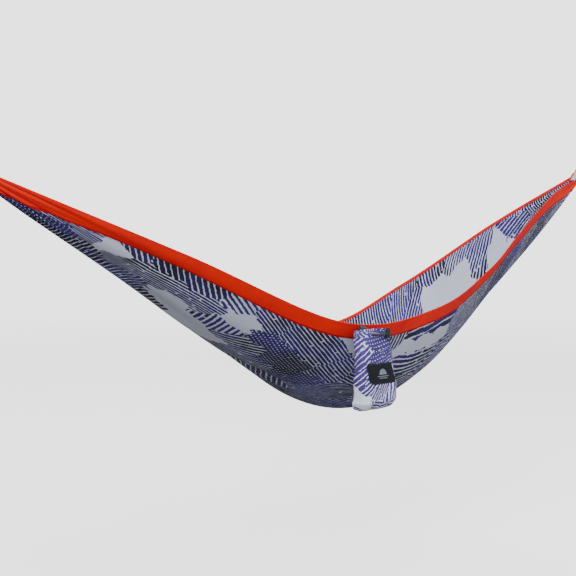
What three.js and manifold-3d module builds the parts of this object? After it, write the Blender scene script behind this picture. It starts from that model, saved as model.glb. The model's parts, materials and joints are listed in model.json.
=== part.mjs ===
// Camping hammock: a cloth bed gathered at both ends, each end hung from a rope loop and a
// carabiner, with a stuff sack hinged on a cloth tab at one long edge.
// Millimetres. +X runs from the left hang point to the right one, the sack hangs on the -Y
// side, and +Z is up. The origin is midway between the two hang points.

import * as THREE from 'three';
import { mergeVertices } from 'three/addons/utils/BufferGeometryUtils.js';
import Module from 'manifold-3d';

const wasm = await Module();
wasm.setup();

// ---------------------------------------------------------------- driving dimensions

const GAP = 0.3;                  // air between two pieces that touch
const HANG_ANGLE = 25;            // slope of the ropes, degrees above level

// Cloth bed
const BED_SPAN = 2710;            // between the two gathers
const KEEL_SAG = 736;             // lowest point of the keel below the gathers
const KEEL_SHIFT = 67;            // how far the keel wanders to the far side
const NEAR_REACH = 383;           // near edge's widest reach from the centre line
const NEAR_DROP = 403;            // near edge's lowest point below the gathers
const FAR_REACH = 441;
const FAR_DROP = 517;
const GATHER_RADIUS = 23;         // half width of the cloth where it is gathered
const SECTION_ANGLE = 62;         // slope of the cloth at its two edges, degrees
const CLOTH = 1.6;                // wall of the bed
const BAND_CLOTH = 1.2;           // wall of the edge bands
const BAND_WIDTH = 50;            // band on the outer face
const BAND_HEM = 10;              // band turned over onto the inner face

// Gathered ends and rope loops
const BUNDLE_LENGTH = 38;         // gathered cloth between the bed and the rope channel
const CHANNEL_RADIUS = 12;        // hem channel bunched up on the rope
const CHANNEL_LEG = 10;           // straight ends of the channel
const ROPE_BEND = 20;             // radius of the rope inside the channel
const ROPE_RADIUS = 3.1;
const ROPE_LEG = 52;              // free rope between the channel and the whipping
const WHIPPING_LENGTH = 24;
const WHIPPING_WALL = 1.5;
const EYE_REACH = 22;             // whipping to the middle of the carabiner's rod

// Carabiners
const ROD_RADIUS = 4;
const HEEL_RADIUS = 15;           // half width of the carabiner, on the rod's middle line
const GATE_SIDE = 42;             // straight side that holds the gate
const SEAT_CORNER = 10;           // corner radius at the strap seat
const GATE_RADIUS = 3.8;
const RIVET_RADIUS = 1.25;
const TONGUE = 3;                 // plate between the gate's two ears
const NOSE_PLATE = 2.4;           // plate that the latch pin hooks into
const LATCH_RADIUS = 1.1;
const SPRING_WIRE = 0.3;

// Stuff sack
const SACK_STATION = 0.307;       // its place along the near edge, 0 left to 1 right
const SACK_BELOW_EDGE = 12;       // mouth below the edge of the bed
const SACK_STANDOFF = 7;          // back of the sack from the edge of the bed
const SACK_HEIGHT = 222;
const SACK_WIDTH = 156;
const SACK_DEPTH = 64;
const SACK_CLOTH = 1.6;
const SACK_LEAN = 10;             // bottom set to the right of the mouth
const HEM_HEIGHT = 16;
const HEM_PUFF = 1.4;             // hem stands proud of the sack, inside and out
const LABEL_WIDTH = 108;
const LABEL_HEIGHT = 56;
const LABEL_THICK = 1;
const LABEL_DROP = 116;           // middle of the label below the mouth
const LABEL_CLIP = 9;             // cut off each lower corner of the label
const TAB_WIDTH = 22;
const TAB_CLOTH = 1.2;
const TAB_LENGTH = 24;
const TAB_EASE = 1.2;             // slack between the tab and the hem

// Drawcord and cord lock
const CORD_RADIUS = 1.2;
const LOCK_RADIUS = 6.8;
const LOCK_WALL = 1.5;
const LOCK_HEIGHT = 20;
const LOCK_OFFSET = 28;           // lock to the right of the middle of the sack
const LOCK_CLEARANCE = 1.8;       // air between the lock and the hem it slides past
const BUTTON_TRAVEL = 4;
const BUTTON_STANDS = 5.5;        // button above the lock when it is released

// ---------------------------------------------------------------- colours and finishes

const FINISH = {
  print: { color: 0x8f91ad, roughness: 0.62, metalness: 0 },
  red: { color: 0xe02a14, roughness: 0.55, metalness: 0 },
  gathered: { color: 0xb9bbcb, roughness: 0.65, metalness: 0 },
  rope: { color: 0x1c1d22, roughness: 0.8, metalness: 0 },
  whipping: { color: 0x101114, roughness: 0.7, metalness: 0 },
  alloy: { color: 0x9a9ca3, roughness: 0.32, metalness: 1 },
  steel: { color: 0xbfc1c4, roughness: 0.25, metalness: 1 },
  webbing: { color: 0x25262b, roughness: 0.8, metalness: 0 },
  label: { color: 0x17181b, roughness: 0.6, metalness: 0 },
  moulded: { color: 0x0e0f11, roughness: 0.45, metalness: 0 },
  loop: { color: 0x8b8d92, roughness: 0.75, metalness: 0 },
};

function mesh(name, geometry, finish) {
  const piece = new THREE.Mesh(geometry, new THREE.MeshStandardMaterial(FINISH[finish]));
  piece.name = name;
  return piece;
}

// ---------------------------------------------------------------- solids

const degrees = THREE.MathUtils.degToRad;
const lerp = THREE.MathUtils.lerp;
const v3 = (x, y, z) => new THREE.Vector3(x, y, z);

function welded(geometry) {
  const bare = geometry.clone();
  bare.deleteAttribute('normal');
  bare.deleteAttribute('uv');
  return mergeVertices(bare, 1e-4);
}

function signedVolume(positions, triangles) {
  const corner = (i) => v3(...positions.slice(3 * i, 3 * i + 3));
  let volume = 0;
  for (let i = 0; i < triangles.length; i += 3) {
    const [a, b, c] = [0, 1, 2].map((k) => corner(triangles[i + k]));
    volume += a.dot(b.cross(c)) / 6;
  }
  return volume;
}

// A geometry from points and triangles, turned so that its faces point out.
function closedBody(points, triangles) {
  const positions = points.flatMap((p) => [p.x, p.y, p.z]);
  const turned = signedVolume(positions, triangles) < 0 ? triangles.slice().reverse() : triangles;
  const geometry = new THREE.BufferGeometry();
  geometry.setAttribute('position', new THREE.Float32BufferAttribute(positions, 3));
  geometry.setIndex(turned);
  return geometry;
}

function solid(geometry) {
  const body = welded(geometry);
  const vertProperties = new Float32Array(body.attributes.position.array);
  const triVerts = new Uint32Array(body.index.array);
  return new wasm.Manifold(new wasm.Mesh({ numProp: 3, vertProperties, triVerts }));
}

function fromSolid(body) {
  const result = body.getMesh();
  const geometry = new THREE.BufferGeometry();
  geometry.setAttribute('position', new THREE.BufferAttribute(result.vertProperties, 3));
  geometry.setIndex(new THREE.BufferAttribute(result.triVerts, 1));
  return geometry;
}

// Two triangles for the corners a, b, c and d; the fold runs from a to c, or from b to d.
function quad(triangles, a, b, c, d, otherFold = false) {
  if (otherFold) {
    triangles.push(a, b, d, b, c, d);
  } else {
    triangles.push(a, b, c, a, c, d);
  }
}

// A closed wall between two grids of points, both given as rows of equal length.
function wall(front, back, otherFold = () => false) {
  const rows = front.length;
  const columns = front[0].length;
  const at = (side, i, j) => (side * rows + i) * columns + j;
  const triangles = [];
  for (let i = 0; i < rows - 1; i += 1) {
    for (let j = 0; j < columns - 1; j += 1) {
      const fold = otherFold(j);
      quad(triangles, at(0, i, j), at(0, i, j + 1), at(0, i + 1, j + 1), at(0, i + 1, j), fold);
      quad(triangles, at(1, i, j), at(1, i + 1, j), at(1, i + 1, j + 1), at(1, i, j + 1), fold);
    }
    const last = columns - 1;
    quad(triangles, at(0, i, 0), at(0, i + 1, 0), at(1, i + 1, 0), at(1, i, 0));
    quad(triangles, at(0, i, last), at(1, i, last), at(1, i + 1, last), at(0, i + 1, last));
  }
  for (let j = 0; j < columns - 1; j += 1) {
    const end = rows - 1;
    quad(triangles, at(0, 0, j), at(1, 0, j), at(1, 0, j + 1), at(0, 0, j + 1));
    quad(triangles, at(0, end, j), at(0, end, j + 1), at(1, end, j + 1), at(1, end, j));
  }
  return closedBody([...front.flat(), ...back.flat()], triangles);
}

// A body through rings of equal length, closed by a fan at each end or joined end to end.
function loft(rings, joined = false) {
  const count = rings[0].length;
  const points = rings.flat();
  const triangles = [];
  const steps = joined ? rings.length : rings.length - 1;
  for (let i = 0; i < steps; i += 1) {
    const here = i * count;
    const next = ((i + 1) % rings.length) * count;
    for (let j = 0; j < count; j += 1) {
      const k = (j + 1) % count;
      quad(triangles, here + j, here + k, next + k, next + j);
    }
  }
  if (!joined) {
    const capEnd = (ring, first, flip) => {
      const middle = ring.reduce((sum, p) => sum.add(p), v3(0, 0, 0)).divideScalar(count);
      points.push(middle);
      for (let j = 0; j < count; j += 1) {
        const pair = [first + j, first + ((j + 1) % count)];
        triangles.push(points.length - 1, ...(flip ? pair.reverse() : pair));
      }
    };
    capEnd(rings[0], 0, true);
    capEnd(rings.at(-1), (rings.length - 1) * count, false);
  }
  return closedBody(points, triangles);
}

// A round bar swept along a curve; its flats face the curve's plane and its sides.
function tube(curve, radius, steps, sides) {
  const corner = (i) => {
    const angle = ((i + 0.5) * 2 * Math.PI) / sides;
    return new THREE.Vector2(radius * Math.cos(angle), radius * Math.sin(angle));
  };
  const section = new THREE.Shape(Array.from({ length: sides }, (_, i) => corner(i)));
  return new THREE.ExtrudeGeometry(section, { extrudePath: curve, steps });
}

// A straight round bar between two points.
function bar(from, to, radius, sides = 16) {
  const length = from.distanceTo(to);
  const geometry = new THREE.CylinderGeometry(radius, radius, length, sides);
  const turn = new THREE.Quaternion().setFromUnitVectors(v3(0, 1, 0), to.clone().sub(from).normalize());
  geometry.applyQuaternion(turn);
  const middle = from.clone().add(to).multiplyScalar(0.5);
  return geometry.translate(middle.x, middle.y, middle.z);
}

function box(low, high) {
  const size = high.clone().sub(low);
  const middle = low.clone().add(high).multiplyScalar(0.5);
  return new THREE.BoxGeometry(size.x, size.y, size.z).translate(middle.x, middle.y, middle.z);
}

class Helix extends THREE.Curve {
  constructor(from, to, radius, turns) {
    super();
    Object.assign(this, { from, to, radius, turns });
    const along = to.clone().sub(from).normalize();
    this.side = v3(0, 0, 1).cross(along);
    if (this.side.length() < 0.5) {
      this.side = v3(1, 0, 0);
    }
    this.up = along.clone().cross(this.side);
  }

  getPoint(t) {
    const angle = 2 * Math.PI * this.turns * t;
    return this.from.clone().lerp(this.to, t)
      .addScaledVector(this.side, this.radius * Math.cos(angle))
      .addScaledVector(this.up, this.radius * Math.sin(angle));
  }
}

// Points of an arc about a centre in the plane of two unit vectors.
function arc(centre, across, along, radius, start, end, steps) {
  const at = (i) => degrees(lerp(start, end, i / steps));
  return Array.from({ length: steps + 1 }, (_, i) => centre.clone()
    .addScaledVector(across, radius * Math.cos(at(i)))
    .addScaledVector(along, radius * Math.sin(at(i))));
}

// ---------------------------------------------------------------- the ends' layout

const CHANNEL_CENTRE = BUNDLE_LENGTH + ROPE_BEND;
const WHIPPING_START = CHANNEL_CENTRE + CHANNEL_LEG + ROPE_LEG;
const WHIPPING_END = WHIPPING_START + WHIPPING_LENGTH;
const STRAND = ROPE_RADIUS + GAP;
const ROD_PLACE = WHIPPING_END + EYE_REACH;
const HEEL_CENTRE = ROD_PLACE + HEEL_RADIUS;
const GATE_END = HEEL_CENTRE + GATE_SIDE;
const SEAT_LINE = GATE_END + HEEL_RADIUS;
const HANG_REACH = SEAT_LINE - ROD_RADIUS;
const HANG_RISE = HANG_REACH * Math.sin(degrees(HANG_ANGLE));

// ---------------------------------------------------------------- the cloth bed

// Fractions of the span and of each driving reach or drop, from the left gather to the right.
const ALONG = [0, 0.16, 0.33, 0.48, 0.6, 0.72, 0.86, 1];
const KEEL_FALL = [0, 0.375, 0.75, 1, 0.975, 0.705, 0.375, 0];
const KEEL_SIDE = [0, 0.07, 0.3, 1, 0.97, 0.5, 0.07, 0];
const NEAR_OUT = [0, 0.665, 0.985, 1, 0.905, 0.65, 0.385, 0];
const NEAR_FALL = [0, 0.515, 1, 0.97, 0.725, 0.455, 0.14, 0];
const FAR_OUT = [0, 0.46, 0.795, 1, 0.805, 0.57, 0.29, 0];
const FAR_FALL = [0, 0.205, 0.45, 0.73, 1, 0.745, 0.34, 0];
const STATIONS = 32;
const INNER_COLUMNS = 10;

const atGather = (i) => (i === 0 || i === ALONG.length - 1 ? GATHER_RADIUS : 0);

function bedLine(sideways, fall) {
  const points = ALONG.map((share, i) => v3(BED_SPAN * (share - 0.5), sideways(i), -HANG_RISE - fall(i)));
  return new THREE.CatmullRomCurve3(points, false, 'catmullrom', 0.5);
}

const keelLine = bedLine((i) => KEEL_SHIFT * KEEL_SIDE[i], (i) => KEEL_SAG * KEEL_FALL[i] + atGather(i));
const nearLine = bedLine((i) => -NEAR_REACH * NEAR_OUT[i] - atGather(i), (i) => NEAR_DROP * NEAR_FALL[i]);
const farLine = bedLine((i) => FAR_REACH * FAR_OUT[i] + atGather(i), (i) => FAR_DROP * FAR_FALL[i]);

// One upright section of the bed: a shallow bowl hung between its two edges.
function section(t) {
  const keel = keelLine.getPoint(t);
  const near = nearLine.getPoint(t);
  const far = farLine.getPoint(t);
  const half = far.clone().sub(near).multiplyScalar(0.5);
  const rise = far.clone().add(near).multiplyScalar(0.5).sub(keel);
  const angle = degrees(SECTION_ANGLE);
  return (w) => keel.clone()
    .addScaledVector(half, Math.sin(w * angle) / Math.sin(angle))
    .addScaledVector(rise, (1 - Math.cos(w * angle)) / (1 - Math.cos(angle)));
}

// Points across a section by cloth length: the band's samples at both edges, and the bed between.
function columns(t) {
  const bowl = section(t);
  const fine = 240;
  const samples = Array.from({ length: fine + 1 }, (_, i) => bowl((2 * i) / fine - 1));
  const run = [0];
  samples.slice(1).forEach((p, i) => run.push(run[i] + p.distanceTo(samples[i])));
  const total = run.at(-1);
  const band = Math.min(BAND_WIDTH, 0.4 * total);
  const hem = Math.min(BAND_HEM, 0.1 * total);
  const edge = [0, hem, (hem + band) / 2, band];
  const share = (i) => (i + 1) / (INNER_COLUMNS + 1);
  const inner = Array.from({ length: INNER_COLUMNS }, (_, i) => lerp(band, total - band, share(i)));
  const lengths = [...edge, ...inner, ...edge.map((s) => total - s).reverse()];
  return lengths.map((s) => {
    const i = Math.min(run.findIndex((r) => r >= s - 1e-9) || 1, fine);
    const w = (2 * (i - 1 + (s - run[i - 1]) / (run[i] - run[i - 1]))) / fine - 1;
    const step = 1e-3;
    const along = bowl(w + step).sub(bowl(w - step)).normalize();
    return { point: bowl(w), along, out: v3(0, along.z, -along.y) };
  });
}

const BED = Array.from({ length: STATIONS + 1 }, (_, i) => columns(i / STATIONS));
const COLUMNS = BED[0].length;
const raised = (node, height) => node.point.clone().addScaledVector(node.out, height);

function mainPanel() {
  const skin = (height) => BED.map((row) => row.map((node) => raised(node, height)));
  return wall(skin(CLOTH / 2), skin(-CLOTH / 2));
}

// A strip folded over an edge of the bed: wide on the outer face, a narrow hem inside.
const EDGE_COLUMNS = 4;
const BAND_INNER = CLOTH / 2 + GAP;
const BAND_OUTER = BAND_INNER + BAND_CLOTH;

function edgeBand(far) {
  const rail = (row, height) => {
    const nodes = far ? row.slice(-EDGE_COLUMNS).reverse() : row.slice(0, EDGE_COLUMNS);
    const beyond = (far ? 1 : -1) * (height - CLOTH / 2);
    const over = (side) => raised(nodes[0], side * height).addScaledVector(nodes[0].along, beyond);
    const outside = nodes.slice(1).reverse().map((node) => raised(node, height));
    return [...outside, over(1), over(-1), raised(nodes[1], -height)];
  };
  const runsBack = (j) => (far ? j > EDGE_COLUMNS - 1 : j < EDGE_COLUMNS - 1);
  const outer = BED.map((row) => rail(row, BAND_OUTER));
  const inner = BED.map((row) => rail(row, BAND_INNER));
  return wall(outer, inner, runsBack);
}

// ---------------------------------------------------------------- gathered ends and ropes
// Each end is drawn in its own frame: x along the rope away from the bed, y level, z up.

const SEAT_HALF = HEEL_RADIUS - SEAT_CORNER;
const X = v3(1, 0, 0);
const Y = v3(0, 1, 0);
const Z = v3(0, 0, 1);

const FIT_SLACK = 0.2;
const BEND_STEPS = 8;
const SPLAY_SHARE = 0.55;
const LEAD_IN = 4;
const LEAD_OUT = 2;
const EYE_WRAP = 100;

// The rope rounds the cloth channel, enters the whipping, rounds the carabiner's rod and returns.
function ropeLine() {
  const bend = ROD_RADIUS + GAP + ROPE_RADIUS + FIT_SLACK;
  const middle = (WHIPPING_START + WHIPPING_END) / 2;
  const legEnd = CHANNEL_CENTRE + CHANNEL_LEG;
  const halfWay = lerp(WHIPPING_START, legEnd, 0.5);
  const splay = lerp(STRAND, ROPE_BEND, SPLAY_SHARE);
  const points = [
    v3(middle - 1, -STRAND, 0),
    v3(WHIPPING_START - LEAD_IN, -STRAND, 0),
    v3(halfWay, -splay, 0),
    v3(legEnd, -ROPE_BEND, 0),
    ...arc(v3(CHANNEL_CENTRE, 0, 0), X, Y, ROPE_BEND, -90, -270, BEND_STEPS),
    v3(legEnd, ROPE_BEND, 0),
    v3(halfWay, splay, 0),
    v3(WHIPPING_START - LEAD_IN, STRAND, 0),
    v3(WHIPPING_END + LEAD_OUT, STRAND, 0),
    ...arc(v3(ROD_PLACE, 0, 0), X, Y, bend, EYE_WRAP, -EYE_WRAP, BEND_STEPS),
    v3(WHIPPING_END + LEAD_OUT, -STRAND, 0),
    v3(middle + 1, -STRAND, 0),
  ];
  return new THREE.CatmullRomCurve3(points, false, 'centripetal');
}

const ROPE_STEPS = 60;
const ROPE_SIDES = 8;

function endRope() {
  return tube(ropeLine(), ROPE_RADIUS, ROPE_STEPS, ROPE_SIDES);
}

function ovalRing(centre, up, halfWidth, halfHeight, count) {
  return arc(centre, Y, up, 1, 0, 360, count).slice(0, count).map((p) => {
    const spoke = p.sub(centre);
    return centre.clone()
      .addScaledVector(Y, halfWidth * spoke.dot(Y))
      .addScaledVector(up, halfHeight * spoke.dot(up));
  });
}

// The bed's end bunched into a bundle, with its hem channel curled round the rope's bend.
function gatheredEnd() {
  const level = v3(Math.cos(degrees(HANG_ANGLE)), 0, -Math.sin(degrees(HANG_ANGLE)));
  const upright = v3(Math.sin(degrees(HANG_ANGLE)), 0, Math.cos(degrees(HANG_ANGLE)));
  const count = 16;
  const low = (share) => upright.clone().multiplyScalar(-share * GATHER_RADIUS);
  const start = low(0.5).addScaledVector(level, GAP);
  const bundle = loft([
    ovalRing(start, upright, GATHER_RADIUS + 5, GATHER_RADIUS, count),
    ovalRing(v3(BUNDLE_LENGTH * 0.5, 0, -4), Z, GATHER_RADIUS + 4, GATHER_RADIUS * 0.75, count),
    ovalRing(v3(BUNDLE_LENGTH, 0, 0), Z, GATHER_RADIUS + 3, CHANNEL_RADIUS * 0.9, count),
  ]);
  const channelLine = new THREE.CatmullRomCurve3([
    v3(CHANNEL_CENTRE + CHANNEL_LEG, -ROPE_BEND, 0),
    ...arc(v3(CHANNEL_CENTRE, 0, 0), X, Y, ROPE_BEND, -90, -270, BEND_STEPS),
    v3(CHANNEL_CENTRE + CHANNEL_LEG, ROPE_BEND, 0),
  ], false, 'centripetal');
  const channel = tube(channelLine, CHANNEL_RADIUS, 18, 12);
  const tunnel = tube(ropeLine(), ROPE_RADIUS + GAP, ROPE_STEPS, ROPE_SIDES);
  return fromSolid(solid(bundle).add(solid(channel)).subtract(solid(tunnel)));
}

function stadium(halfLength, radius) {
  const shape = new THREE.Shape();
  shape.absarc(halfLength, 0, radius, -Math.PI / 2, Math.PI / 2, false);
  shape.absarc(-halfLength, 0, radius, Math.PI / 2, Math.PI * 1.5, false);
  return shape;
}

// The bound sleeve that closes the rope into a loop and an eye.
function whipping() {
  const bore = ROPE_RADIUS + GAP + FIT_SLACK;
  const outline = stadium(STRAND, bore + WHIPPING_WALL);
  outline.holes.push(stadium(STRAND, bore));
  const options = { depth: WHIPPING_LENGTH, bevelEnabled: false, curveSegments: 8 };
  const geometry = new THREE.ExtrudeGeometry(outline, options);
  const turn = new THREE.Matrix4().makeBasis(Y, Z, X);
  return geometry.applyMatrix4(turn).translate(WHIPPING_START, 0, 0);
}

// ---------------------------------------------------------------- carabiners

const RIVET_PLACE = HEEL_CENTRE + 8;
const KNUCKLE = GATE_RADIUS - 0.2;
const LATCH_PLACE = GATE_END - 3;
const LATCH_DROP = 0.8;
const EAR_SLOT = TONGUE + 2 * GAP;
const NOSE_SLOT = NOSE_PLATE + 2 * GAP;
const BORE_RADIUS = 1.9;
const BORE_START = RIVET_PLACE + KNUCKLE + 0.6;
const BORE_END = BORE_START + 15;
const PLUNGER_END = BORE_START + 4;
const TONGUE_HALF = 2.8;
const TONGUE_ROOT = 2;
const NOSE_HALF = 2.6;
const SLOT_HEIGHT = 6;
const PIN_SHORT = 0.2;

function crossBar(x, z, radius, halfLength, sides) {
  return bar(v3(x, -halfLength, z), v3(x, halfLength, z), radius, sides);
}

function carabinerBody() {
  const top = HEEL_RADIUS;
  const corner = (side, from, to) => {
    const centre = v3(GATE_END + SEAT_HALF, 0, side * SEAT_HALF);
    return arc(centre, X, Z, SEAT_CORNER, from, to, 5);
  };
  const stops = [
    v3(GATE_END + 1, 0, top),
    ...corner(1, 90, 0),
    ...corner(-1, 0, -90),
    ...arc(v3(HEEL_CENTRE, 0, 0), X, Z, HEEL_RADIUS, -90, -270, 12),
    v3(RIVET_PLACE - KNUCKLE - 0.5, 0, top),
  ];
  const rod = solid(loft(rodRings(stops)));
  const tongue = solid(box(
    v3(RIVET_PLACE - KNUCKLE - TONGUE_ROOT, -TONGUE / 2, top - TONGUE_HALF),
    v3(RIVET_PLACE, TONGUE / 2, top + TONGUE_HALF),
  ));
  const round = solid(crossBar(RIVET_PLACE, top, TONGUE_HALF, TONGUE / 2, 20));
  const rivetHole = solid(crossBar(RIVET_PLACE, top, RIVET_RADIUS + GAP / 2, TONGUE, 20));
  const plate = solid(box(
    v3(LATCH_PLACE - NOSE_HALF, -NOSE_PLATE / 2, top - NOSE_HALF),
    v3(GATE_END + TONGUE_ROOT, NOSE_PLATE / 2, top + NOSE_HALF),
  ));
  const notchRadius = LATCH_RADIUS + GAP;
  const notchTop = top - LATCH_DROP;
  const notchRound = solid(crossBar(LATCH_PLACE, notchTop, notchRadius, TONGUE, 16));
  const notchMouth = solid(box(
    v3(LATCH_PLACE - notchRadius, -TONGUE, top - ROD_RADIUS),
    v3(LATCH_PLACE + notchRadius, TONGUE, notchTop),
  ));
  const body = rod.add(tongue).add(round).subtract(rivetHole).add(plate);
  return fromSolid(body.subtract(notchRound).subtract(notchMouth));
}

// Rings of a round rod through a chain of stops that all lie in the x-z plane.
function rodRings(stops) {
  const sides = 20;
  const halfSide = 9;
  return stops.map((stop, i) => {
    const before = stops[Math.max(i - 1, 0)];
    const after = stops[Math.min(i + 1, stops.length - 1)];
    const ahead = after.clone().sub(before).normalize();
    const across = ahead.clone().cross(Y);
    return arc(stop, across, Y, ROD_RADIUS, halfSide, halfSide + 360, sides).slice(0, sides);
  });
}

function carabinerGate() {
  const top = HEEL_RADIUS;
  const end = GATE_END + 0.6;
  const rod = solid(bar(v3(RIVET_PLACE, 0, top), v3(end, 0, top), GATE_RADIUS, 20));
  const knuckle = solid(crossBar(RIVET_PLACE, top, KNUCKLE, GATE_RADIUS, 24));
  const earSlot = solid(box(
    v3(RIVET_PLACE - SLOT_HEIGHT, -EAR_SLOT / 2, top - SLOT_HEIGHT),
    v3(RIVET_PLACE + KNUCKLE + 0.4, EAR_SLOT / 2, top + SLOT_HEIGHT),
  ));
  const rivetHole = solid(crossBar(RIVET_PLACE, top, RIVET_RADIUS + GAP / 2, 2 * GATE_RADIUS, 20));
  const noseSlot = solid(box(
    v3(LATCH_PLACE - NOSE_HALF - 0.8, -NOSE_SLOT / 2, top - SLOT_HEIGHT),
    v3(end + 1, NOSE_SLOT / 2, top + SLOT_HEIGHT),
  ));
  const latchLine = top - LATCH_DROP;
  const latchHole = solid(crossBar(LATCH_PLACE, latchLine, LATCH_RADIUS + GAP / 2, 2 * GATE_RADIUS, 16));
  const bore = solid(bar(v3(RIVET_PLACE, 0, top), v3(BORE_END, 0, top), BORE_RADIUS, 16));
  const body = rod.add(knuckle).subtract(earSlot).subtract(noseSlot);
  return fromSolid(body.subtract(rivetHole).subtract(latchHole).subtract(bore));
}

function gatePlunger() {
  const from = v3(RIVET_PLACE + TONGUE_HALF + GAP, 0, HEEL_RADIUS);
  const to = v3(PLUNGER_END, 0, HEEL_RADIUS);
  return bar(from, to, BORE_RADIUS - SPRING_WIRE, 12);
}

function gateSpring() {
  const wire = SPRING_WIRE;
  const from = v3(PLUNGER_END + GAP + wire, 0, HEEL_RADIUS);
  const to = v3(BORE_END - GAP - wire, 0, HEEL_RADIUS);
  return tube(new Helix(from, to, BORE_RADIUS - GAP - wire, 6), wire, 48, 5);
}

function hingeRivet() {
  return crossBar(RIVET_PLACE, HEEL_RADIUS, RIVET_RADIUS, GATE_RADIUS + PIN_SHORT, 16);
}

function latchPin() {
  return crossBar(LATCH_PLACE, HEEL_RADIUS - LATCH_DROP, LATCH_RADIUS, GATE_RADIUS - PIN_SHORT, 12);
}

// ---------------------------------------------------------------- the stuff sack

const edgeAtSack = nearLine.getPoint(SACK_STATION);
const SACK_BACK = edgeAtSack.y - SACK_STANDOFF;
const MOUTH = edgeAtSack.z - SACK_BELOW_EDGE;
const SACK_SIDES = 28;

// Height below the mouth, and half width and half depth as shares of the largest ones.
const SACK_OUTLINE = [
  [0, 0.78, 0.74], [0.072, 0.8, 0.78], [0.25, 0.84, 0.86], [0.47, 0.86, 0.9], [0.7, 0.97, 1],
  [0.88, 1, 0.97], [0.965, 0.84, 0.76], [1, 0.52, 0.42],
];

function sackRing(drop, wide, deep) {
  const lean = (SACK_LEAN * drop) / SACK_HEIGHT;
  const squash = (value) => Math.sign(value) * Math.abs(value) ** (2 / 3);
  return Array.from({ length: SACK_SIDES }, (_, i) => {
    const angle = (2 * Math.PI * (i + 0.5)) / SACK_SIDES;
    return v3(wide * squash(Math.cos(angle)), deep * squash(Math.sin(angle)), 0)
      .add(v3(edgeAtSack.x + lean, SACK_BACK - sackDepth(drop), MOUTH - drop));
  });
}

function sackShare(drop, column) {
  const share = drop / SACK_HEIGHT;
  const i = Math.max(1, SACK_OUTLINE.findIndex((row) => row[0] >= share - 1e-9));
  const [before, after] = [SACK_OUTLINE[i - 1], SACK_OUTLINE[i]];
  return lerp(before[column], after[column], (share - before[0]) / (after[0] - before[0]));
}

const sackWidth = (drop) => (SACK_WIDTH / 2) * sackShare(drop, 1);
const sackDepth = (drop) => (SACK_DEPTH / 2) * sackShare(drop, 2);
const sackDrops = () => SACK_OUTLINE.slice(1).map((row) => row[0] * SACK_HEIGHT);
const sackSkin = (drop, out) => sackRing(drop, sackWidth(drop) + out, sackDepth(drop) + out);

function sackShell() {
  const drops = [HEM_HEIGHT + GAP, ...sackDrops().filter((drop) => drop > HEM_HEIGHT + 1)];
  const outer = drops.map((drop) => sackSkin(drop, 0));
  const inner = drops.map((drop) => sackSkin(drop, -SACK_CLOTH));
  inner.at(-1).forEach((p) => p.setZ(p.z + SACK_CLOTH));
  inner.at(-2).forEach((p) => p.setZ(p.z + SACK_CLOTH / 2));
  return loft([...outer.reverse(), ...inner]);
}

function sackHem() {
  const drops = [0, HEM_HEIGHT];
  const outer = drops.map((drop) => sackSkin(drop, drop === 0 ? 0 : HEM_PUFF));
  const inner = drops.map((drop) => sackSkin(drop, -SACK_CLOTH - HEM_PUFF)).reverse();
  return loft([...outer, ...inner], true);
}

// The label is a piece of the sack's own skin, raised and cut to an outline with clipped corners.
function sackLabel() {
  const drops = sackDrops().filter((drop) => drop > HEM_HEIGHT + 1);
  const skin = (out) => solid(loft(drops.map((drop) => sackSkin(drop, out))));
  const [halfWidth, halfHeight, clip] = [LABEL_WIDTH / 2, LABEL_HEIGHT / 2, LABEL_CLIP];
  const outline = new THREE.Shape([
    [-halfWidth, clip - halfHeight], [clip - halfWidth, -halfHeight], [halfWidth - clip, -halfHeight],
    [halfWidth, clip - halfHeight], [halfWidth, halfHeight], [-halfWidth, halfHeight],
  ].map(([x, z]) => new THREE.Vector2(x, z)));
  const cutter = new THREE.ExtrudeGeometry(outline, { depth: SACK_DEPTH, bevelEnabled: false });
  cutter.rotateX(Math.PI / 2);
  cutter.translate(edgeAtSack.x + SACK_LEAN * 0.6, SACK_BACK - SACK_DEPTH * 0.6, MOUTH - LABEL_DROP);
  return fromSolid(skin(GAP + LABEL_THICK).subtract(skin(GAP)).intersect(solid(cutter)));
}

// A folded tab: one leg lies on the edge band, the other hangs behind the sack's hem.
function sackTab() {
  const i = Math.floor(SACK_STATION * STATIONS);
  const share = SACK_STATION * STATIONS - i;
  const [left, right] = [BED[i][0], BED[i + 1][0]];
  const chord = right.point.clone().sub(left.point).normalize();
  const down = left.along.clone().lerp(right.along, share).normalize();
  const out = v3(0, down.z, -down.y);
  const edge = left.point.clone().lerp(right.point, share);
  const onBand = (s, height) => down.clone().multiplyScalar(s).addScaledVector(out, height);
  const inside = BAND_OUTER + GAP + 0.2;
  const outside = inside + TAB_CLOTH;
  const back = SACK_BACK - edge.y + HEM_PUFF + GAP + TAB_EASE;
  const foot = MOUTH - edge.z - TAB_LENGTH + 6;
  const fold = onBand(4, outside + 0.4);
  const leg = [
    [back, foot], [back, fold.z - 1.5], [fold.y, fold.z], [onBand(2, inside).y, onBand(2, inside).z],
    [onBand(TAB_LENGTH, inside).y, onBand(TAB_LENGTH, inside).z],
    [onBand(TAB_LENGTH, outside).y, onBand(TAB_LENGTH, outside).z],
    [back + TAB_CLOTH + 0.6, fold.z - 4], [back + TAB_CLOTH, foot],
  ];
  const outline = new THREE.Shape(leg.map(([y, z]) => new THREE.Vector2(y, z)));
  const geometry = new THREE.ExtrudeGeometry(outline, { depth: TAB_WIDTH, bevelEnabled: false });
  const corner = edge.clone().addScaledVector(chord, -TAB_WIDTH / 2);
  const place = new THREE.Matrix4().makeBasis(Y, Z, chord).setPosition(corner);
  return geometry.applyMatrix4(place);
}

// ---------------------------------------------------------------- drawcord and cord lock

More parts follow.
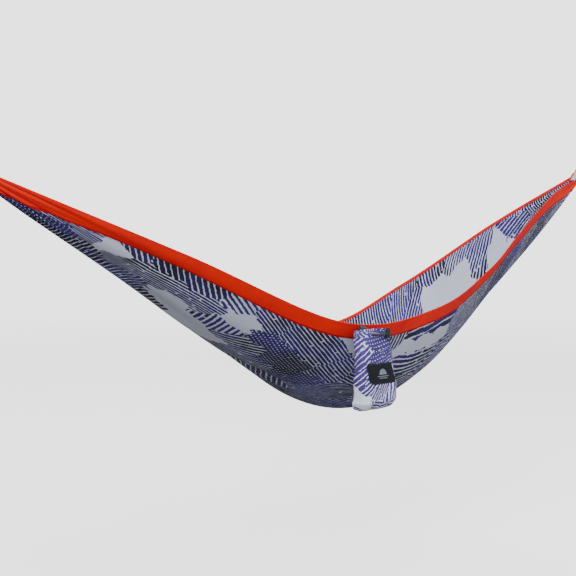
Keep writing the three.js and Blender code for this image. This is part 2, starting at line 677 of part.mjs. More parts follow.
const SACK_FRONT = SACK_BACK - 2 * sackDepth(HEM_HEIGHT / 2) - HEM_PUFF;
const CORD_LINE = SACK_FRONT - LOCK_RADIUS - LOCK_CLEARANCE;
const CORD_LEVEL = MOUTH - HEM_HEIGHT / 2;
const LOCK_PLACE = v3(edgeAtSack.x + LOCK_OFFSET, CORD_LINE, CORD_LEVEL);
const CORD_PITCH = CORD_RADIUS + GAP / 2;
const CORD_SLOT = 2 * CORD_PITCH + CORD_RADIUS - CORD_PITCH + GAP + 0.1;
const BUTTON_RADIUS = LOCK_RADIUS - LOCK_WALL - GAP;
const BUTTON_FOOT = -CORD_SLOT - 1.6;
const LOCK_FOOT = BUTTON_FOOT - BUTTON_TRAVEL - 2.6;

// Two strands leave one buttonhole in the hem, cross its front and pass through the lock.
function drawcord(side) {
  const level = CORD_LEVEL + side * CORD_PITCH;
  const x = (offset) => edgeAtSack.x + offset;
  const tail = (offset) => x(LOCK_OFFSET + offset + side * (CORD_PITCH + 0.1));
  return new THREE.CatmullRomCurve3([
    v3(x(-36), SACK_FRONT - CORD_RADIUS - GAP, level),
    v3(x(-29), SACK_FRONT - 3, level),
    v3(x(-19), CORD_LINE + 0.6, level),
    v3(x(-10), CORD_LINE, level),
    v3(x(8), CORD_LINE, level),
    v3(x(LOCK_OFFSET), CORD_LINE, level),
    v3(x(LOCK_OFFSET + 9), CORD_LINE, level),
    v3(tail(14), CORD_LINE + 0.4, level - 1.4),
    v3(tail(16.5), CORD_LINE + 0.8, CORD_LEVEL - 6),
    v3(tail(17), CORD_LINE + 1, CORD_LEVEL - 11),
  ], false, 'centripetal');
}

const cordStrand = (side) => tube(drawcord(side), CORD_RADIUS, 26, 8);

// One knot under the lock ties both ends together.
function cordKnot() {
  const end = drawcord(-1).getPoint(1).lerp(drawcord(1).getPoint(1), 0.5);
  const top = end.z - GAP;
  const shape = [[0, -8], [2.4, -7.4], [4, -4.6], [3.9, -2.2], [2.8, 0], [0, 0]];
  const profile = shape.map(([r, z]) => new THREE.Vector2(r, z));
  const geometry = new THREE.LatheGeometry(profile, 14).rotateX(Math.PI / 2);
  return geometry.translate(end.x, end.y, top);
}

function slotBox(low, high) {
  return solid(box(
    v3(-2 * LOCK_RADIUS, -CORD_RADIUS - GAP, low),
    v3(2 * LOCK_RADIUS, CORD_RADIUS + GAP, high),
  ));
}

function lockBody() {
  const top = LOCK_FOOT + LOCK_HEIGHT;
  const shell = solid(bar(v3(0, 0, LOCK_FOOT - LOCK_WALL), v3(0, 0, top), LOCK_RADIUS, 24));
  const cup = solid(bar(v3(0, 0, LOCK_FOOT), v3(0, 0, top + 1), LOCK_RADIUS - LOCK_WALL, 24));
  return fromSolid(shell.subtract(cup).subtract(slotBox(-CORD_SLOT, CORD_SLOT)));
}

function lockButton() {
  const top = LOCK_FOOT + LOCK_HEIGHT + BUTTON_STANDS;
  const plug = solid(bar(v3(0, 0, BUTTON_FOOT), v3(0, 0, top), BUTTON_RADIUS, 20));
  return fromSolid(plug.subtract(slotBox(-CORD_SLOT, CORD_SLOT + BUTTON_TRAVEL)));
}

function lockSpring() {
  const wire = 0.4;
  const from = v3(0, 0, LOCK_FOOT + GAP + wire);
  const to = v3(0, 0, BUTTON_FOOT - GAP - wire);
  return tube(new Helix(from, to, BUTTON_RADIUS - 1.2, 4), wire, 40, 5);
}

// A small hanging loop sewn into the hem's left side.
function sideLoop() {
  const side = edgeAtSack.x - sackWidth(HEM_HEIGHT / 2) - HEM_PUFF - GAP;
  const level = MOUTH - HEM_HEIGHT / 2;
  const middle = SACK_BACK - sackDepth(HEM_HEIGHT / 2);
  const line = new THREE.CatmullRomCurve3([
    v3(side, middle, level + 4),
    v3(side - 5, middle, level + 4.5),
    v3(side - 9, middle, level),
    v3(side - 5, middle, level - 4.5),
    v3(side, middle, level - 4),
  ], false, 'centripetal');
  return tube(line, 1.3, 16, 8);
}

// ---------------------------------------------------------------- assembly

function hangingEnd(name) {
  const end = new THREE.Group();
  end.add(
    mesh(`${name}_gathered_end`, gatheredEnd(), 'gathered'),
    mesh(`${name}_end_rope`, endRope(), 'rope'),
    mesh(`${name}_rope_whipping`, whipping(), 'whipping'),
    mesh(`${name}_carabiner_body`, carabinerBody(), 'alloy'),
    mesh(`${name}_carabiner_gate`, carabinerGate(), 'alloy'),
    mesh(`${name}_gate_rivet`, hingeRivet(), 'steel'),
    mesh(`${name}_latch_pin`, latchPin(), 'steel'),
    mesh(`${name}_gate_plunger`, gatePlunger(), 'steel'),
    mesh(`${name}_gate_spring`, gateSpring(), 'steel'),
  );
  end.rotation.y = -degrees(HANG_ANGLE);
  const side = new THREE.Group();
  side.add(end);
  end.position.set(BED_SPAN / 2, 0, -HANG_RISE);
  side.rotation.z = name === 'left' ? Math.PI : 0;
  return side;
}

function stuffSack() {
  const lock = new THREE.Group();
  lock.position.copy(LOCK_PLACE);
  lock.add(
    mesh('cord_lock_body', lockBody(), 'moulded'),
    mesh('cord_lock_button', lockButton(), 'moulded'),
    mesh('cord_lock_spring', lockSpring(), 'steel'),
  );
  const sack = new THREE.Group();
  sack.add(
    mesh('sack_shell', sackShell(), 'print'),
    mesh('sack_hem', sackHem(), 'print'),
    mesh('sack_label', sackLabel(), 'label'),
    mesh('sack_side_loop', sideLoop(), 'loop'),
    mesh('sack_drawcord_upper', cordStrand(1), 'webbing'),
    mesh('sack_drawcord_lower', cordStrand(-1), 'webbing'),
    mesh('sack_drawcord_knot', cordKnot(), 'webbing'),
    lock,
  );
  return sack;
}

const hammock = new THREE.Group();
hammock.add(
  mesh('main_panel', mainPanel(), 'print'),
  mesh('near_edge_band', edgeBand(false), 'red'),
  mesh('far_edge_band', edgeBand(true), 'red'),
  mesh('sack_tab', sackTab(), 'webbing'),
  hangingEnd('left'),
  hangingEnd('right'),
  stuffSack(),
);

export default hammock;
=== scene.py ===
"""Camping hammock: printed cloth bed with red edge bands, gathered ends on rope loops and
carabiners, and a stuff sack on one edge. Metres, +X to the right hang point, +Z up."""

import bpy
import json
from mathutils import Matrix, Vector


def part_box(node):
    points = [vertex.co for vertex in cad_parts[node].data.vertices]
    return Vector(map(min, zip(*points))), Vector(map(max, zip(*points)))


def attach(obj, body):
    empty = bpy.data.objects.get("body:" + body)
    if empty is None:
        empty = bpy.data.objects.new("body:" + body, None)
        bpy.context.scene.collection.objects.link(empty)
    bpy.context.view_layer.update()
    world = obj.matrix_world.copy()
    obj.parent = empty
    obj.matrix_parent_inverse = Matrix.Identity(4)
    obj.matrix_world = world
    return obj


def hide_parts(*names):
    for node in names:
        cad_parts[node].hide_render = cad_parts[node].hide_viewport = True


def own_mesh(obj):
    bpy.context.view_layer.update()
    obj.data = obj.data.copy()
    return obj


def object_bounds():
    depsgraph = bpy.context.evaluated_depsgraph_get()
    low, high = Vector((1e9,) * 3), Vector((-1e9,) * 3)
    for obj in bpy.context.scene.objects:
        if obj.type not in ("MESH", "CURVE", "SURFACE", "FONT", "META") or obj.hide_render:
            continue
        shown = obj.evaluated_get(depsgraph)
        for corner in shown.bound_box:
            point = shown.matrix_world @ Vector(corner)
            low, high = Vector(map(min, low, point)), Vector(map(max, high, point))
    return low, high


bl_info = {
    "name": "Camping Hammock",
    "version": (1, 0, 0),
    "blender": (4, 5, 0),
    "location": "View3D > Sidebar > Hammock",
    "description": "Builds a gathered-end camping hammock around its packed frame",
    "category": "Add Mesh",
}

import json
import math

import bmesh
import bpy
import numpy as np
from bpy.props import FloatProperty, FloatVectorProperty, IntProperty, PointerProperty
from mathutils import Matrix, Vector

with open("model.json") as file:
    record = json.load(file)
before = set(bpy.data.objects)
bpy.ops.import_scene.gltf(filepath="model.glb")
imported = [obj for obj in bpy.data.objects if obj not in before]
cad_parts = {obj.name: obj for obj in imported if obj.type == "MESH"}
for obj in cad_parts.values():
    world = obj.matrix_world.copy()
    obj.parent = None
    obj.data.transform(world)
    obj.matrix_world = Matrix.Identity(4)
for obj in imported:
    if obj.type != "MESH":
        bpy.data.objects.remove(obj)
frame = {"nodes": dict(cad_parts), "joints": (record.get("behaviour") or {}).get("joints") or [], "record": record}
CAD_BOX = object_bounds()
JOINTS = {joint["name"]: joint for joint in frame["joints"]}
MOUNTS = {mount["name"]: mount for mount in frame["record"]["mounts"]}
SIDES = ("left", "right")

# ------------------------------------------------------------------ layout, in metres

GAP = 0.0003
MERGE = 1e-6
# The ends: distances along the rope from the gather
HEEL_CENTRE = 0.181
ROD_PLACE = 0.166
ROD_RADIUS = 0.004
CHANNEL_CENTRE = 0.058
CHANNEL_LEG = 0.010
ROPE_BEND = 0.020
ROPE_RADIUS = 0.0031
STRAND = ROPE_RADIUS + GAP
WHIPPING_START = 0.120
WHIPPING_END = 0.144

# The bed: its widest and lowest points, and their shares from the left gather to the right
BED_SPAN = 2.710
KEEL_SAG = 0.736
KEEL_SHIFT = 0.067
NEAR_REACH = 0.383
NEAR_DROP = 0.403
FAR_REACH = 0.441
FAR_DROP = 0.517
GATHER_RADIUS = 0.023
SECTION_ANGLE = math.radians(62)
BAND_WIDTH = 0.050
BAND_HEM = 0.010
ALONG = (0, 0.16, 0.33, 0.48, 0.6, 0.72, 0.86, 1)
KEEL_FALL = (0, 0.375, 0.75, 1, 0.975, 0.705, 0.375, 0)
KEEL_SIDE = (0, 0.07, 0.3, 1, 0.97, 0.5, 0.07, 0)
NEAR_OUT = (0, 0.665, 0.985, 1, 0.905, 0.65, 0.385, 0)
NEAR_FALL = (0, 0.515, 1, 0.97, 0.725, 0.455, 0.14, 0)
FAR_OUT = (0, 0.46, 0.795, 1, 0.805, 0.57, 0.29, 0)
FAR_FALL = (0, 0.205, 0.45, 0.73, 1, 0.745, 0.34, 0)

# The stuff sack: back of its mouth, and rows of drop, width and depth shares
SACK_TOP = Vector(JOINTS["sack_swing"]["pos_m"])
SACK_HEIGHT = SACK_TOP.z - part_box("sack_shell")[0].z
SACK_WIDTH = 0.156
SACK_DEPTH = 0.064
SACK_LEAN = 0.010
HEM_HEIGHT = 0.016
HEM_PUFF = 0.0014
SACK_OUTLINE = (
    (0, 0.78, 0.74), (0.072, 0.8, 0.78), (0.25, 0.84, 0.86), (0.47, 0.86, 0.9),
    (0.7, 0.97, 1), (0.88, 1, 0.97), (0.965, 0.84, 0.76), (1, 0.52, 0.42),
)
LABEL_WIDTH = 0.108
LABEL_HEIGHT = 0.056
LABEL_DROP = 0.116
LABEL_CLIP = 0.009
CORD_RADIUS = 0.0012
CORD_LEVEL = SACK_TOP.z - HEM_HEIGHT / 2
CORD_PITCH = CORD_RADIUS + GAP / 2
LOCK_OFFSET = 0.028


# ------------------------------------------------------------------ settings


class StageSettings(bpy.types.PropertyGroup):
    lens: FloatProperty(name="Lens", description="Focal length", default=81.25, min=10, unit="CAMERA")
    floor_drop: FloatProperty(
        name="Floor drop", description="Floor below the lowest piece", default=0.46, unit="LENGTH"
    )
    floor_colour: FloatVectorProperty(
        name="Floor colour", description="Pale studio floor", default=(0.86, 0.86, 0.87), subtype="COLOR"
    )
    sky_light: FloatProperty(
        name="Sky light", description="Strength of the studio's even light", default=0.3
    )
    floor_bounce: FloatProperty(name="Floor bounce", description="Light the floor returns", default=0.22)
    floor_glow: FloatProperty(
        name="Floor glow", description="Lift of the floor as the camera sees it", default=1.9
    )
    backdrop: FloatProperty(name="Backdrop", description="Brightness of the backdrop", default=3.2)
    key_power: FloatProperty(
        name="Key light", description="Power of the key light", default=210, unit="POWER"
    )


class BedSettings(bpy.types.PropertyGroup):
    thickness: FloatProperty(name="Cloth", description="Cloth thickness", default=0.0006, unit="LENGTH")
    pleats: IntProperty(name="Pleats", description="Pleats across each gather", default=9, min=1)
    pleat_depth: FloatProperty(name="Pleat depth", description="Deepest pleat", default=0.0042, unit="LENGTH")
    ground: FloatVectorProperty(
        name="Cloth colour", description="Pale ground of the print",
        default=(0.66, 0.69, 0.84), subtype="COLOR",
    )
    # Painted shade and light: this is the print's ink as it looks in shade; the violet ink below is the same ink
    # as it looks in light, and noise scatters the two over the strokes.
    ink: FloatVectorProperty(
        name="Ink", description="Dark strokes of the print", default=(0.006, 0.005, 0.032), subtype="COLOR"
    )
    lit_ink: FloatVectorProperty(
        name="Violet ink", description="Lighter strokes of the print",
        default=(0.034, 0.022, 0.19), subtype="COLOR",
    )


class BandSettings(bpy.types.PropertyGroup):
    colour: FloatVectorProperty(
        name="Band colour", description="Edge band cloth", default=(0.93, 0.011, 0.001), subtype="COLOR"
    )
    stitch: FloatProperty(name="Stitch", description="Length of a stitch", default=0.0034, unit="LENGTH")
    pitch: FloatProperty(name="Pitch", description="Stitch spacing", default=0.0056, unit="LENGTH")


class EndSettings(bpy.types.PropertyGroup):
    rope_colour: FloatVectorProperty(
        name="Rope colour", description="Braided end loops", default=(0.02, 0.021, 0.026), subtype="COLOR"
    )
    wraps: IntProperty(name="Wraps", description="Turns of whipping twine", default=17, min=2)


class HardwareSettings(bpy.types.PropertyGroup):
    alloy: FloatVectorProperty(
        name="Alloy", description="Carabiner metal", default=(0.56, 0.57, 0.6), subtype="COLOR"
    )
    edge: FloatProperty(name="Edge", description="Rounding of machined edges", default=0.0002, unit="LENGTH")


class SackSettings(bpy.types.PropertyGroup):
    thickness: FloatProperty(name="Cloth", description="Cloth thickness", default=0.0007, unit="LENGTH")
    ruffles: IntProperty(name="Ruffles", description="Ruffles round the hem", default=23, min=3)
    # Painted light: the sack's ink as it looks where lit; a half-bright copy of it stands for the same ink in
    # shade, and noise scatters the two.
    lit_ink: FloatVectorProperty(
        name="Violet ink", description="Strokes of the sack's print",
        default=(0.085, 0.048, 0.33), subtype="COLOR",
    )


# ------------------------------------------------------------------ curves and sheets


def rail(points, t):
    """Points of a smooth line with evenly shared spans, for every t from 0 to 1."""
    points = np.asarray(points, float)
    spans = len(points) - 1
    ends = np.vstack([2 * points[0] - points[1], points, 2 * points[-1] - points[-2]])
    place = np.clip(t * spans, 0, spans - 1e-9)
    i = place.astype(int)
    f = (place - i)[..., None]
    before, here, there, after = ends[i], ends[i + 1], ends[i + 2], ends[i + 3]
    leave, arrive = (there - before) / 2, (after - here) / 2
    cubic = (2 * here - 2 * there + leave + arrive) * f**3
    square = (3 * there - 3 * here - 2 * leave - arrive) * f**2
    return cubic + square + leave * f + here


def smooth_path(points, steps):
    """A centripetal curve through the points, as evenly spaced places along it."""
    points = [np.asarray(p, float) for p in points]
    points = [2 * points[0] - points[1], *points, 2 * points[-1] - points[-2]]
    fine = []
    for a, b, c, d in zip(points, points[1:], points[2:], points[3:]):
        t1 = np.linalg.norm(b - a) ** 0.5
        t2 = t1 + np.linalg.norm(c - b) ** 0.5
        t3 = t2 + np.linalg.norm(d - c) ** 0.5
        for t in np.linspace(t1, t2, 12, endpoint=False):
            ab = (a * (t1 - t) + b * t) / t1
            bc = (b * (t2 - t) + c * (t - t1)) / (t2 - t1)
            cd = (c * (t3 - t) + d * (t - t2)) / (t3 - t2)
            abc = (ab * (t2 - t) + bc * t) / t2
            bcd = (bc * (t3 - t) + cd * (t - t1)) / (t3 - t1)
            fine.append((abc * (t2 - t) + bcd * (t - t1)) / (t2 - t1))
    fine = np.array([*fine, points[-2]])
    run = run_along(fine)
    places = np.linspace(0, run[-1], steps + 1)
    return np.stack([np.interp(places, run, fine[:, k]) for k in range(3)], axis=1)


def length_of(path):
    return float(np.linalg.norm(np.diff(path, axis=0), axis=1).sum())


def run_along(path):
    """Distance from a path's start to each of its places."""
    return np.concatenate([[0], np.cumsum(np.linalg.norm(np.diff(path, axis=0), axis=1))])


def mesh_of(bm, name):
    """A new mesh from the working mesh, which is then freed."""
    mesh = bpy.data.meshes.new(name)
    bm.to_mesh(mesh)
    bm.free()
    return mesh


def arc(centre, radius, start, end, steps):
    """Points of an arc in the x-y plane, from start to end in degrees."""
    angles = np.radians(np.linspace(start, end, steps + 1))
    return [(centre + radius * math.cos(a), radius * math.sin(a), 0) for a in angles]


def smoothstep(low, high, x):
    f = np.clip((x - low) / (high - low), 0, 1)
    return f * f * (3 - 2 * f)


def formed_grid(name, columns, rows, place, chart, round_about=False, closed_ring=False):
    """A grid whose vertices go where place(a, b) says, with its chart as the UV map.
    round_about joins its two sides into a tube, closed_ring joins the tube's ends as well."""
    bm = bmesh.new()
    bmesh.ops.create_grid(bm, x_segments=columns, y_segments=rows, size=0.5)
    mesh = mesh_of(bm, name)
    flat = np.empty(len(mesh.vertices) * 3)
    mesh.vertices.foreach_get("co", flat)
    a, b = (flat.reshape(-1, 3)[:, :2] + 0.5).T
    corners = np.empty(len(mesh.loops), int)
    mesh.loops.foreach_get("vertex_index", corners)
    layer = mesh.uv_layers.new(name="cloth")
    layer.data.foreach_set("uv", chart(a, b)[corners].ravel())
    mesh.vertices.foreach_set("co", np.ascontiguousarray(place(a, b), float).ravel())
    if round_about or closed_ring:
        bm = bmesh.new()
        bm.from_mesh(mesh)
        bmesh.ops.remove_doubles(bm, verts=bm.verts, dist=2e-6)
        if not closed_ring:
            rims = [edge for edge in bm.edges if edge.is_boundary]
            bmesh.ops.holes_fill(bm, edges=rims, sides=0)
        bmesh.ops.recalc_face_normals(bm, faces=bm.faces)
        bm.to_mesh(mesh)
        bm.free()
    mesh.shade_smooth()
    return mesh


def frames_along(path):
    """Unit vectors ahead, across and up at each place on a path, carried along without twist."""
    ahead = np.gradient(path, axis=0)
    ahead /= np.linalg.norm(ahead, axis=1)[:, None]
    seed = np.array([0, 0, 1.0]) if abs(ahead[0, 2]) < 0.8 else np.array([1.0, 0, 0])
    ups = []
    for direction in ahead:
        seed = seed - direction * seed.dot(direction)
        seed /= np.linalg.norm(seed)
        ups.append(seed)
    ups = np.array(ups)
    return ahead, np.cross(ups, ahead), ups


def swept_tube(name, path, sides, radius):
    """A closed tube along a path; radius(angle, distance) gives its skin."""
    ahead, across, ups = frames_along(path)
    run = run_along(path)

    def place(a, b):
        i = np.rint(b * (len(path) - 1)).astype(int)
        angle = 2 * math.pi * a
        r = radius(angle, run[i])[:, None]
        return path[i] + r * (np.cos(angle)[:, None] * across[i] + np.sin(angle)[:, None] * ups[i])

    def chart(a, b):
        i = np.rint(b * (len(path) - 1)).astype(int)
        return np.stack([run[i], a], axis=1)

    return formed_grid(name, sides, len(path) - 1, place, chart, round_about=True)


def braided(radius, strands, lay):
    """Skin of a braided cord: strands cross each way once every lay of length."""

    def skin(angle, run):
        twist = 2 * math.pi * run / lay
        rise = np.abs(np.sin(strands * angle / 2 + twist)) * np.abs(np.sin(strands * angle / 2 - twist))
        return radius * (0.93 + 0.11 * rise)

    return skin


def add_piece(name, mesh, materials, body, slot, *nodes):
    """Puts a mesh in the scene as a piece on a body, standing for the given frame nodes."""
    piece = bpy.data.objects.new(name, mesh)
    bpy.context.scene.collection.objects.link(piece)
    for material in materials if isinstance(materials, (list, tuple)) else [materials]:
        mesh.materials.append(material)
    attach(piece, body)
    if nodes:
        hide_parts(*nodes)
    return piece


def give_thickness(piece, thickness, offset=0.0):
    wall = piece.modifiers.new("wall", "SOLIDIFY")
    wall.thickness = thickness
    wall.offset = offset
    return piece


def refined_copy(node, name, material, body, slot, edge, smooth=38):
    """A merged copy of a machined frame node with rounded edges and smooth shading."""
    bm = bmesh.new()
    bm.from_mesh(frame["nodes"][node].data)
    bmesh.ops.remove_doubles(bm, verts=bm.verts, dist=MERGE)
    mesh = mesh_of(bm, name)
    mesh.shade_smooth()
    mesh.set_sharp_from_angle(angle=math.radians(smooth))
    piece = add_piece(name, mesh, material, body, slot, node)
    if edge:
        rounding = piece.modifiers.new("edges", "BEVEL")
        rounding.width = edge
        rounding.segments = 2
        rounding.limit_method = "ANGLE"
        rounding.angle_limit = math.radians(50)
    return piece


def stitches(name, points, normals, pitch, length, radius, material, body, slot):
    """One piece of short raised threads laid along each line of points."""
    bm = bmesh.new()
    for line, outs in zip(points, normals):
        run = run_along(line)
        for place in np.arange(pitch / 2, run[-1] - pitch / 2, pitch):
            at = Vector([np.interp(place, run, line[:, k]) for k in range(3)])
            on = Vector([np.interp(place + length / 2, run, line[:, k]) for k in range(3)])
            up = Vector([np.interp(place, run, outs[:, k]) for k in range(3)]).normalized()
            ahead = (on - at).normalized()
            side = up.cross(ahead).normalized()
            up = ahead.cross(side)
            basis = Matrix((ahead * length / 2, side * radius, up * radius)).transposed().to_4x4()
            basis.translation = at
            bmesh.ops.create_icosphere(bm, subdivisions=1, radius=1, matrix=basis)
    mesh = mesh_of(bm, name)
    mesh.shade_smooth()
    return add_piece(name, mesh, material, body, slot)


# ------------------------------------------------------------------ nodes for the finishes


class Web:
    """Lays nodes into one tree, from left to right."""

    def __init__(self, tree):
        self.tree = tree
        self.count = 0

    def node(self, kind, values=None, **settings):
        node = self.tree.nodes.new(kind)
        node.location = (180 * (self.count // 5), -190 * (self.count % 5))
        self.count += 1
        for name, value in settings.items():
            setattr(node, name, value)
        for name, value in (values or {}).items():
            self.feed(node.inputs[name], value)
        return node

    def feed(self, socket, value):
        if isinstance(value, bpy.types.NodeSocket):
            self.tree.links.new(value, socket)
        else:
            socket.default_value = value

    def math(self, operation, a, b=0.0, c=0.0):
        return self.node("ShaderNodeMath", {0: a, 1: b, 2: c}, operation=operation).outputs[0]

    def vector(self, operation, a, b=(0, 0, 0)):
        node = self.node("ShaderNodeVectorMath", {0: a, 1: b}, operation=operation)
        return node.outputs["Value" if operation in ("DISTANCE", "LENGTH") else "Vector"]

    def noise(self, vector, scale, detail=2.0):
        values = {"Vector": vector, "Scale": scale, "Detail": detail}
        return self.node("ShaderNodeTexNoise", values)

    def lot(self, value):
        return self.node("ShaderNodeTexWhiteNoise", {"W": value}, noise_dimensions="1D").outputs["Value"]

    def ramp(self, value, low, high, to_low=0.0, to_high=1.0):
        values = {"Value": value, 1: low, 2: high, 3: to_low, 4: to_high}
        return self.node("ShaderNodeMapRange", values, interpolation_type="SMOOTHSTEP").outputs[0]

    def blend(self, factor, a, b):
        values = {0: factor, 6: a, 7: b}
        return self.node("ShaderNodeMix", values, data_type="RGBA").outputs[2]

    def split(self, vector):
        return self.node("ShaderNodeSeparateXYZ", {0: vector}).outputs

    def join(self, x, y, z=0.0):
        return self.node("ShaderNodeCombineXYZ", {0: x, 1: y, 2: z}).outputs[0]


def new_group(name, inputs, outputs):
    """A node group with named sockets; inputs give a kind and a default."""
    tree = bpy.data.node_groups.new(name, "ShaderNodeTree")
    for label, kind, default in inputs:
        socket = tree.interface.new_socket(name=label, in_out="INPUT", socket_type=kind)
        if default is not None:
            socket.default_value = default
    for label in outputs:
        tree.interface.new_socket(name=label, in_out="OUTPUT", socket_type="NodeSocketFloat")
    web = Web(tree)
    source = web.node("NodeGroupInput")
    sink = web.node("NodeGroupOutput")
    return web, source.outputs, sink.inputs


def weave_group():
    """Plain weave with a raised ripstop grid; the chart is in metres."""
    web, given, out = new_group(
        "ripstop_weave",
        (
            ("Chart", "NodeSocketVector", None),
            ("Thread", "NodeSocketFloat", 0.0005),
            ("Grid", "NodeSocketFloat", 0.0055),
            ("Crinkle", "NodeSocketFloat", 55.0),
        ),
        ("Height", "Grid line"),
    )
    x, y, _ = web.split(given["Chart"])
    threads = []
    lines = []
    for axis in (x, y):
        turn = web.math("DIVIDE", web.math("MULTIPLY", axis, math.tau), given["Thread"])
        threads.append(web.math("SINE", turn))
        cell = web.math("FRACT", web.math("DIVIDE", axis, given["Grid"]))
        lines.append(web.math("LESS_THAN", cell, 0.13))
    grid = web.math("MAXIMUM", *lines)
    cloth = web.math("MULTIPLY", *threads)
    crinkle = web.noise(given["Chart"], given["Crinkle"], 3.0).outputs[0]
    height = web.math("ADD", web.math("MULTIPLY", cloth, 0.06), web.math("MULTIPLY", grid, 0.16))
    web.feed(out["Height"], web.math("ADD", height, crinkle))
    web.feed(out["Grid line"], grid)
    return web.tree


def stroke_rows(web, chart, angle, pitch, ink, salt):
    """Ink of one set of brush strokes that run side by side at an angle across the chart."""
    turned = web.node("ShaderNodeVectorRotate", {"Vector": chart, "Angle": angle}, rotation_type="Z_AXIS")
    x, y, _ = web.split(turned.outputs[0])
    sway = web.math("SUBTRACT", web.noise(chart, 6.0, 1.0).outputs[0], 0.5)
    jitter = web.math("SUBTRACT", web.noise(chart, 120.0, 1.0).outputs[0], 0.5)
    drift = web.math("MULTIPLY_ADD", sway, 1.3, web.math("MULTIPLY", jitter, 0.3))
    rank = web.math("ADD", web.math("DIVIDE", y, pitch), drift)
    row = web.math("FLOOR", rank)
    lot = web.lot(web.math("ADD", row, salt))
    off = web.math("MULTIPLY", web.math("ABSOLUTE", web.math("SUBTRACT", web.math("FRACT", rank), 0.5)), 2.0)
    place = web.join(web.math("MULTIPLY", x, 26.0), web.math("MULTIPLY", row, 3.7))
    swell = web.noise(place, 1.0, 2.0).outputs[0]
    broad = web.math("MULTIPLY", ink, web.math("ADD", web.math("MULTIPLY", swell, 0.9), 0.55))
    inside = web.math("SUBTRACT", broad, off)
    body = web.ramp(inside, -0.06, 0.1)
    dash = web.math("FRACT", web.math("ADD", web.math("DIVIDE", x, web.math("MULTIPLY", pitch, 37.0)), lot))
    unbroken = web.ramp(dash, 0.006, 0.016)
    return web.math("MULTIPLY", body, unbroken)


def print_group(name, fields, stretch):
    """Brush-stroke print: the nearest field sets the strokes' angle, pitch and weight.
    A weight over 1 crosses a second set of strokes over the first."""
    web, given, out = new_group(name, (("Chart", "NodeSocketVector", None),), ("Ink", "Violet"))
    chart = given["Chart"]
    tear = web.vector("SUBTRACT", web.noise(chart, 30.0, 3.0).outputs["Color"], (0.5, 0.5, 0.5))
    ragged = web.vector("ADD", chart, web.vector("MULTIPLY", tear, (0.075, 0.05, 0.0)))
    ragged = web.vector("MULTIPLY", ragged, (1.0, stretch, 0.0))
    nearest = 9.0
    field = (0.0, 0.01, 0.0)
    for u, v, angle, pitch, weight in fields:
        reach = web.vector("DISTANCE", ragged, (u, v * stretch, 0.0))
        nearer = web.math("LESS_THAN", reach, nearest)
        nearest = web.math("MINIMUM", reach, nearest)
        values = {0: nearer, 4: field, 5: (-math.radians(angle), pitch / 1000, weight)}
        field = web.node("ShaderNodeMix", values, data_type="VECTOR").outputs[1]
    angle, pitch, weight = web.split(field)
    crossed = web.math("GREATER_THAN", weight, 1.0)
    ink = web.math("SUBTRACT", weight, crossed)
    first = stroke_rows(web, chart, angle, pitch, ink, 0.0)
    second = stroke_rows(web, chart, web.math("ADD", angle, 1.25), pitch, ink, 41.0)
    strokes = web.math("MAXIMUM", first, web.math("MULTIPLY", second, crossed))
    printed = web.math("MULTIPLY", strokes, web.math("GREATER_THAN", ink, 0.02))
    dry = web.ramp(web.noise(chart, 420.0, 2.0).outputs[0], 0.3, 0.62, 0.95, 1.0)
    web.feed(out["Ink"], web.math("MULTIPLY", printed, dry))
    # Where each stroke takes the lit copy of the ink instead of the shaded copy, scattered by noise: painted light
    # and shade.
    web.feed(out["Violet"], web.ramp(web.noise(chart, 5.5, 2.0).outputs[0], 0.38, 0.62))
    return web.tree


def braid_group():
    """Threads of a braided or twisted cord; the chart is length in metres and share of a turn."""
    web, given, out = new_group(
        "braid_threads",
        (
            ("Chart", "NodeSocketVector", None),
            ("Lay", "NodeSocketFloat", 0.004),
            ("Strands", "NodeSocketFloat", 8.0),
        ),
        ("Height", "Painted crown light"),
    )
    run, turn, _ = web.split(given["Chart"])
    along = web.math("MULTIPLY", web.math("DIVIDE", run, given["Lay"]), math.tau)
    about = web.math("MULTIPLY", web.math("MULTIPLY", turn, given["Strands"]), math.pi)
    rises = [
        web.math("ABSOLUTE", web.math("SINE", web.math(way, about, along))) for way in ("ADD", "SUBTRACT")
    ]
    threads = web.math("MULTIPLY", *rises)
    fibre = web.noise(web.join(web.math("MULTIPLY", run, 900.0), web.math("MULTIPLY", turn, 40.0)), 1.0, 2.0)
    web.feed(out["Height"], web.math("ADD", threads, web.math("MULTIPLY", fibre.outputs[0], 0.35)))
    # High on the strands' crowns and low in the grooves; the finishes paint it as light on the crowns and shade in
    # the grooves.
    web.feed(out["Painted crown light"], web.math("MULTIPLY", threads, fibre.outputs[0]))
    return web.tree


def grain_group():
    """Fine surface grain and handling wear, read from object coordinates."""
    web, given, out = new_group(
        "grain_and_wear",
        (
            ("Place", "NodeSocketVector", None),
            ("Grain", "NodeSocketFloat", 2500.0),
            ("Wear", "NodeSocketFloat", 60.0),
        ),
        ("Grain", "Wear"),
    )
    web.feed(out["Grain"], web.noise(given["Place"], given["Grain"], 3.0).outputs[0])
    scuffs = web.noise(given["Place"], given["Wear"], 5.0).outputs[0]
    web.feed(out["Wear"], web.ramp(scuffs, 0.48, 0.72))
    return web.tree


def shared(name, maker):
    """The node group of that name, made once."""
    return bpy.data.node_groups.get(name) or maker()


def new_finish(name, **numbers):
    """An empty material: its web, its shader's inputs and a bump node that feeds its normal."""
    material = bpy.data.materials.new(name)
    material.use_nodes = True
    material.node_tree.nodes.clear()
    web = Web(material.node_tree)
    shader = web.node("ShaderNodeBsdfPrincipled", {k.replace("_", " "): v for k, v in numbers.items()})
    output = web.node("ShaderNodeOutputMaterial")
    web.tree.links.new(shader.outputs[0], output.inputs[0])
    bump = web.node("ShaderNodeBump")
    web.tree.links.new(bump.outputs[0], shader.inputs["Normal"])
    return material, web, shader.inputs, bump.inputs


def chart_of(web):
    return web.node("ShaderNodeUVMap", uv_map="cloth").outputs[0]


